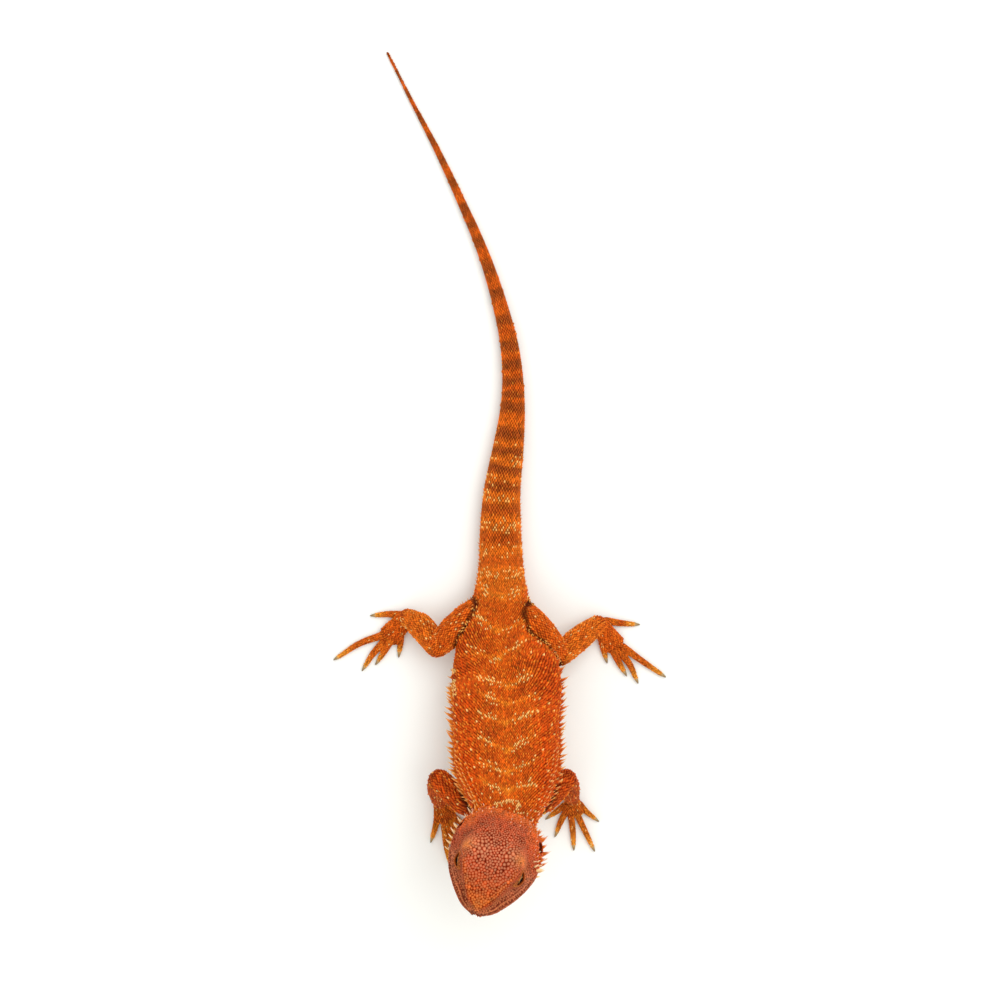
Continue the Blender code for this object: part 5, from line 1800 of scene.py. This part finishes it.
flank = []
for side in (1, -1):
    flank += [
        spines_on_body(side, 13, 80, 2.1, -3, flank_length, 0.35),
        spines_on_body(side, 14, 78, 2.1, 5, lambda a: 0.66 * flank_length(a), 0.5, 0.5),
        spines_on_body(side, 14, 78, 2.3, 14, lambda a: 0.4 * flank_length(a), 0.7, 0.2),
        spines_on_body(side, 16, 78, 2.4, -14, lambda a: 0.8 * flank_length(a), 0.3, 0.5),
        spines_on_body(side, 18, 76, 2.4, -27, lambda a: 0.55 * flank_length(a), 0.3),
        spines_on_body(side, VENT - 14, VENT + 75, 1.6, 6, tail_spine, 0.7),
        spines_on_body(side, VENT - 10, VENT + 60, 1.8, -12, tail_spine, 0.7),
        spines_on_body(side, 8, 36, 1.9, 22, lambda a: 2.3, 0.45),
        spines_on_body(side, 9, 33, 1.9, 30, lambda a: 2.0, 0.5, 0.5),
        spines_on_body(side, 10, 30, 2.1, 40, lambda a: 1.5, 0.6),
        spines_on_body(side, VENT - 6, VENT + 30, 2.3, 32, lambda a: 0.95, 1.1),
    ]
flank = together(*flank)
side_tint = np.where((flank["arc"] < 0)[:, None], mixed(FLAME, AMBER, 0.55), mixed(FLAME, AMBER, 0.1))
beside_bars = (flank["arc"] < 0) & (flank["at"] > BARS_FROM) & (flank["at"] < BARS_TO - 2)
side_tint = np.where(beside_bars[:, None], mixed(FLAME, AMBER, 0.8), side_tint)
on_shoulder = (np.abs(flank["arc"]) < 0.4) & (flank["at"] < 37)
flank = landed_spines(flank, side_tint, CREAM, np.where(on_shoulder, 0.28, 0.25))
pieces.append(coat("spines_flanks", flank, thorn, thorn_finish, 0.2, 0.1, 7))

# %% [markdown]
# The front and the back edge of each arm and leg have short spines that lie nearly flat.

# %% Spines of the limbs
def spines_on_limb(form, start, stop, step, way, length):
    """Short spines on the edge of a limb that faces the way given."""
    found = []
    for a in np.arange(start, stop, step):
        ring = form.rings([a], 60)[0]
        point = ring[np.argmax(ring @ np.asarray(way, float))]
        found.append((point, unit(point - ring.mean(axis=0)), form.frames([a])[1][0], a, 0.5, length))
    return spine_rows(found, 0.9)


edges = []
for limb in LIMBS:
    upper, lower = legs[limb]
    for way in ((0, 1, 0.1), (0, 1, 0.9), (0, -1, 0.3)):
        edges.append(spines_on_limb(upper, 3, upper.length, 1.9, way, 1.15))
        edges.append(spines_on_limb(lower, 1, lower.length - 1, 1.8, way, 1.0))
edges = together(*edges)
edges = landed_spines(edges, np.repeat(mixed(BRICK, AMBER, 0.35)[None], len(edges["at"]), axis=0), CREAM)
pieces.append(coat("spines_limbs", edges, thorn, thorn_finish, 0.3, 0.15, 10))

# %% [markdown]
# A row of the beard starts behind the skull and runs forwards along the cheek or the jaw. The
# arches over the nape go from side to side.

# %% Rows of the beard and the nape
def spines_on_head(share_range, count, line, length, lean, turned=(0.35, 0.05)):
    """Spines in pairs along one line of the head, bent back and out."""
    found = []
    for i, share in enumerate(np.linspace(*share_range, count)):
        ring = head_ring(share, 20)
        point = ring[int(round(line * 20))]
        middle = np.array([0, point[1], 0])
        for side in (1, -1):
            flip = np.array([side, 1, 1])
            way = unit(unit(point - middle) + np.array([turned[0], -lean, turned[1]]))
            lie = HEAD_TURN @ np.array([0, -1.0, 0.1])
            long = length * (1 + 0.15 * math.sin(3.1 * i + side))
            found.append((on_head(point * flip), HEAD_TURN @ (way * flip), lie, share, side * line / 7, long))
    return spine_rows(found, 0.15)


def nape_spines(at, degrees, length, lean):
    """Spines over the neck behind the skull, in an arch from side to side."""
    rows = [spines_on_body(1, at, at + 0.5, 1, d, lambda a: length, lean) for d in degrees]
    rows += [spines_on_body(-1, at, at + 0.5, 1, d, lambda a: length, lean) for d in degrees]
    return together(*rows)


beard = [
    spines_on_head((0.0, 0.36), 7, 4.2, 4.2, 0.6),
    spines_on_head((0.04, 0.41), 7, 4.55, 3.8, 0.5),
    spines_on_head((0.05, 0.47), 8, 4.95, 3.1, 0.5),
    spines_on_head((0.09, 0.56), 9, 5.35, 2.3, 0.5),
    spines_on_head((0.12, 0.6), 10, 5.75, 1.6, 0.5),
    spines_on_head((0.0, 0.38), 8, 3.85, 3.4, 0.6),
    spines_on_head((0.0, 0.36), 8, 3.5, 2.8, 0.6),
    spines_on_head((0.0, 0.34), 8, 3.1, 2.1, 0.6, (0.3, 0.2)),
    spines_on_head((0.02, 0.3), 7, 2.75, 1.5, 0.7, (0.3, 0.3)),
    spines_on_head((0.0, 0.09), 3, 2.8, 2.2, 0.8, (0.2, 0.3)),
    spines_on_head((0.02, 0.1), 3, 2.2, 1.6, 0.8, (0.2, 0.3)),
    spines_on_head((0.02, 0.1), 3, 1.3, 1.4, 0.8, (0.1, 0.3)),
    spines_on_head((0.02, 0.1), 3, 0.5, 1.3, 0.8, (0.1, 0.3)),
    nape_spines(3.0, (20, 0, -20), 2.6, 0.5),
    nape_spines(6.0, (35, 12, -8, -28), 2.5, 0.5),
    nape_spines(9.5, (48, 22, 2, -18), 2.2, 0.5),
    nape_spines(13.5, (30, 10, -8), 1.7, 0.6),
    nape_spines(4.5, (62, 46, 30, 12), 1.7, 0.7),
    nape_spines(7.5, (66, 52, 38), 1.5, 0.7),
]
beard = together(*beard)
print("spines of the beard and the nape:", len(beard["at"]))

# %% [markdown]
# Spines in front of an ear are left out. One side has a single white fringe, so its inner rows
# are left out too. The other side is orange, with cream spines at the corner of the jaw.

# %% Choose and colour the spines of the beard
q = in_head(beard["place"])
clear = np.ones(len(q), bool)
for place in ear_places.values():
    clear &= np.linalg.norm(q - place, axis=1) > EAR_RADIUS + 1.1
beard, q = chosen(beard, clear), q[clear]
white_side = (q[:, 0] > 0) & (beard["at"] < 1)
fringe = ~white_side | (beard["arc"] > 4.1 / 7)
beard, white_side = chosen(beard, fringe), white_side[fringe]
beard["gap"] = beard["gap"] * np.where(white_side, 0.8, 0.74)
pale_spines = white_side | ((beard["at"] > 0.3) & (beard["at"] < 1))
beard_tint = np.where(pale_spines[:, None], paint(248, 200, 140), mixed(FLAME, AMBER, 0.5))
beard = landed_spines(beard, beard_tint, paint(255, 246, 222), np.where(white_side, 0.22, 0.29), 0.09)
pieces.append(coat("spines_head", beard, thorn, thorn_finish, 0.2, 0.1, 8))

# %% [markdown]
# ## The skin's colour, with painted shade
#
# The skin shows only in the gaps. Each of its points takes the mean tint of the roots nearest to it, a little
# darker and redder, so the bands and rows go on through the gaps; the darkening is painted shade in the gaps.
# The skin in each eye's socket and in each ear's cup is darkened further as painted shade.

# %% Tint the skin, with painted shade in its gaps and openings
skin_points = coordinates(skin.data)
skin_tint = np.empty((len(skin_points), 3), np.float32)
for i, point in enumerate(skin_points):
    near = [index for _, index, _ in grown_tree.find_n(point, 4)]
    skin_tint[i] = grown["tint"][near].mean(axis=0)
# Redder, and darker as painted shade in the gaps between scales.
skin_tint *= np.array([0.5, 0.38, 0.34])
# Painted shade: the skin of each eye's socket round the eyeball is nearly black.
for place in eye_places.values():
    socket_shade = np.linalg.norm(skin_points - on_head(place), axis=1) < EYE_RADIUS + 0.25
    skin_tint[socket_shade] = paint(36, 18, 10)
# Painted shade: the skin inside each ear's cup is darkened.
for place in ear_places.values():
    cup = (in_head(skin_points) - place) / (EAR_DEPTH, EAR_RADIUS, EAR_RADIUS * EAR_TALL)
    skin_tint[np.linalg.norm(cup, axis=1) < 1.12] *= 0.4
for title in ("tint", "tip"):
    data = skin.data.attributes.new(title, "FLOAT_VECTOR", "POINT").data
    data.foreach_set("vector", skin_tint.ravel())
skin_points[:, 2] = np.maximum(skin_points[:, 2], 0)
set_coordinates(skin.data, skin_points)
skin.data.materials.clear()
skin.data.materials.append(skin_finish)
skin.data.shade_smooth()
print("skin points tinted:", len(skin_points))

# %% [markdown]
# ## Eyes and ear membranes
#
# The eye is a wet ball with a golden-brown iris round a black pupil, the outer iris darkened almost to black
# as painted shade in the slit of the lids. A value called gaze, the angle from the way it looks, drives a
# colour ramp.

# %% Eyes
def plain_ball(name, middle, radii, rows, sides):
    obj = joined_tubes(name, [round_form(middle, radii, HEAD_TURN, rows, sides)])
    obj.data.shade_smooth()
    return obj


def base_colour_by(tree, shader, share, *stops):
    """Drives the base colour by a share through a colour ramp of (position, colour) stops."""
    shades = add_node(tree, "ShaderNodeValToRGB", {0: share})
    elements = shades.color_ramp.elements
    for element, (position, shade) in zip(elements, (stops[0], stops[-1])):
        element.position, element.color = position, (*shade, 1)
    for position, shade in stops[1:-1]:
        elements.new(position).color = (*shade, 1)
    wire(tree, shader, {"Base Color": shades.outputs[0]})


eye_finish, tree, shader = new_finish("wet eye")
# Beyond the golden ring the iris darkens from brown almost to black: painted shade in the slit of the lids.
IRIS = (
    (0.0, (0.003, 0.002, 0.002)),
    (0.22, (0.004, 0.003, 0.002)),
    (0.25, (0.42, 0.2, 0.035)),
    (0.31, (0.14, 0.055, 0.014)),
    (0.48, (0.06, 0.025, 0.01)),
    (0.56, (0.012, 0.007, 0.005)),
    (0.62, (0.02, 0.012, 0.008)),
)
base_colour_by(tree, shader, own(tree, "gaze"), *IRIS)
wet = {"Roughness": 0.08, "Specular IOR Level": 0.2, "Coat Weight": 0.15, "Coat Roughness": 0.03}
wire(tree, shader, wet)
for title, side in (("right", 1), ("left", -1)):
    ball = plain_ball(f"eyeball_{title}", on_head(eye_places[side]), (EYE_RADIUS,) * 3, 32, 48)
    looks = HEAD_TURN @ unit((side * 1.0, 0.25, 0.22))
    from_middle = unit(coordinates(ball.data) - on_head(eye_places[side]))
    angle = np.arccos(np.clip(from_middle @ looks, -1, 1)) / (0.5 * np.pi)
    ball.data.attributes.new("gaze", "FLOAT", "POINT").data.foreach_set("value", angle)
    ball.data.materials.append(eye_finish)
    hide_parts(f"eye_{title}")
    pieces.append(ball)
print("eyes of", 2 * EYE_RADIUS, "mm")

# %% [markdown]
# The ear's membrane is thin, smooth skin that lets the dark behind it through in places.

# %% Ear membranes
MEMBRANE_IN, MEMBRANE_EDGE = 1.75, 0.45
drum_finish, tree, shader = new_finish("ear membrane")
thin_skin = ((0, (0.06, 0.018, 0.008)), (1, (0.2, 0.06, 0.02)))
base_colour_by(tree, shader, noise_over(tree, 1200, 2), *thin_skin)
wire(tree, shader, {"Roughness": 0.5, "Specular IOR Level": 0.15})
for title, side in (("right", 1), ("left", -1)):
    sizes = (EAR_DEPTH - 1.0, EAR_RADIUS - MEMBRANE_EDGE, EAR_RADIUS * EAR_TALL - MEMBRANE_EDGE)
    place = ear_places[side] - (side * MEMBRANE_IN, 0, 0)
    drum = plain_ball(f"ear_membrane_{title}", on_head(place), sizes, 16, 28)
    drum.data.materials.append(drum_finish)
    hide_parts(f"eardrum_{title}")
    pieces.append(drum)
print("ear membranes", round(2 * sizes[1], 1), "mm wide")

# %% [markdown]
# ## Claws
#
# Each claw is a curved cone of horn that goes on from its digit, arches a little and touches
# the floor. It is grey-yellow at its root and dark at its tip.

# %% Claws
CLAW_LENGTH, CLAW_TIP_HEIGHT, GAP = 2.3, 0.35, 0.3


def claw_form(form, radius):
    place, ahead, _, _ = form.frames([form.length])
    ahead = unit((ahead[0][0], ahead[0][1], 0))
    start = place[0] + ahead * GAP
    rise = np.array([0, 0, 1.0])
    rows = [
        (*start, radius),
        (*(start + ahead * 0.45 * CLAW_LENGTH + rise * 0.25), 0.68 * radius),
        (*(start + ahead * 0.85 * CLAW_LENGTH - rise * 0.12), 0.34 * radius),
        (*(start + ahead * CLAW_LENGTH - rise * (start[2] - CLAW_TIP_HEIGHT)), 0.1),
    ]
    return Form(rows)


claw_finish, tree, shader = new_finish("claw horn")
horn = ((0, paint(206, 158, 84)), (0.45, paint(150, 120, 72)), (1, paint(70, 48, 30)))
base_colour_by(tree, shader, own(tree, "along"), *horn)
grain = add_node(tree, "ShaderNodeGroup", {"Grain size": 2500, "Rough": 0.22}, node_tree=HORN_GRAIN)
wire(tree, shader, {"Roughness": grain.outputs["Roughness"]})
claw_tubes, shares = [], []
for limb, forms in digits.items():
    for form in forms:
        solid = claw_form(form, 0.82 * DIGIT_RADII[limb[:3]][2])
        tube = solid.closed(14, 14, 0.0)
        claw_tubes.append(tube)
        shares.append(np.repeat(np.linspace(0, 1, len(tube[0])), 14).tolist() + [0.0, 1.0])
claws = joined_tubes("claws", claw_tubes)
claws.data.attributes.new("along", "FLOAT", "POINT").data.foreach_set("value", np.concatenate(shares))
claws.data.shade_smooth()
claws.data.materials.append(claw_finish)
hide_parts(*[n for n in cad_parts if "claw" in n])
pieces.append(claws)
print("claws:", len(claw_tubes))

# %% [markdown]
# ## What stands for what
#
# The one skin takes the place of every solid of flesh. The scales and spines ride with it.

# %% Ride and replace
flesh = [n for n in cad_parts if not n.startswith(("eye", "ear")) and "claw" not in n]
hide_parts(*flesh)
for piece in pieces + [skin]:
    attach(piece, "root")
print("pieces:", len(pieces) + 1, "for", len(flesh), "solids of flesh")

# %% [markdown]
# ## Floor, light and camera
#
# The photograph looks straight down from a metre above onto a white sheet, under broad soft
# light that leaves only a faint shadow.

# %% Floor
FAR = 3.0
floor_mesh = bpy.data.meshes.new("floor")
floor_corners = [(-FAR, -FAR, 0), (FAR, -FAR, 0), (FAR, FAR, 0), (-FAR, FAR, 0)]
floor_mesh.from_pydata(floor_corners, [], [(0, 1, 2, 3)])
floor = bpy.data.objects.new("floor", floor_mesh)
bpy.context.scene.collection.objects.link(floor)
paper, tree, shader = new_finish("white sheet")
wire(tree, shader, {"Base Color": (0.9, 0.92, 0.88, 1), "Roughness": 0.9})
floor_mesh.materials.append(paper)
floor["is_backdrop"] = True
print("floor", 2 * FAR, "m wide")

# %% [markdown]
# A white sky gives most of the light. A large lamp to the left of the animal, above its tail,
# gives the shadows their side, and a weaker one fills them.

# %% Light
world = bpy.data.worlds.new("studio")
world.use_nodes = True
sky = world.node_tree
wire(sky, sky.nodes["Background"], {"Color": (1.0, 1.0, 1.0, 1), "Strength": 0.86})
bpy.context.scene.world = world


def softbox(name, place, size, watts):
    lamp = bpy.data.lights.new(name, "AREA")
    lamp.shape = "SQUARE"
    lamp.size = size
    lamp.energy = watts
    obj = bpy.data.objects.new(name, lamp)
    obj.location = place
    obj.rotation_euler = (-Vector(place)).to_track_quat("-Z", "Y").to_euler()
    bpy.context.scene.collection.objects.link(obj)
    return obj


softbox("key", (0.4, 0.3, 1.25), 1.2, 9.5)
softbox("fill", (-0.6, -0.8, 1.0), 1.2, 2.0)
bpy.context.scene.view_settings.view_transform = "Standard"

# %% [markdown]
# At a metre, a 90 mm lens on a sensor 36 mm wide sees 400 mm of the floor, as the photograph does.

# %% Camera
PHOTO_HEIGHT = 1.0
camera = bpy.data.objects.new("camera", bpy.data.cameras.new("camera"))
camera.data.lens = 90
camera.data.sensor_width = 36
camera.data.clip_start = 0.01
camera.location = (-BOX_MIDDLE[0] * MM, -BOX_MIDDLE[1] * MM, PHOTO_HEIGHT)
bpy.context.scene.collection.objects.link(camera)
bpy.context.scene.camera = camera
print("floor in view:", round(PHOTO_HEIGHT * camera.data.sensor_width / camera.data.lens / MM), "mm")

# %% [markdown]
# The scales stand out from the solids by less than a millimetre.

# %% Compare the boxes and finish
low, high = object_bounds()
past = max(*(a - b for a, b in zip(cad_low, low)), *(b - a for a, b in zip(cad_high, high)))
print("the scales reach past the solids by", round(past / MM, 2), "mm at most")
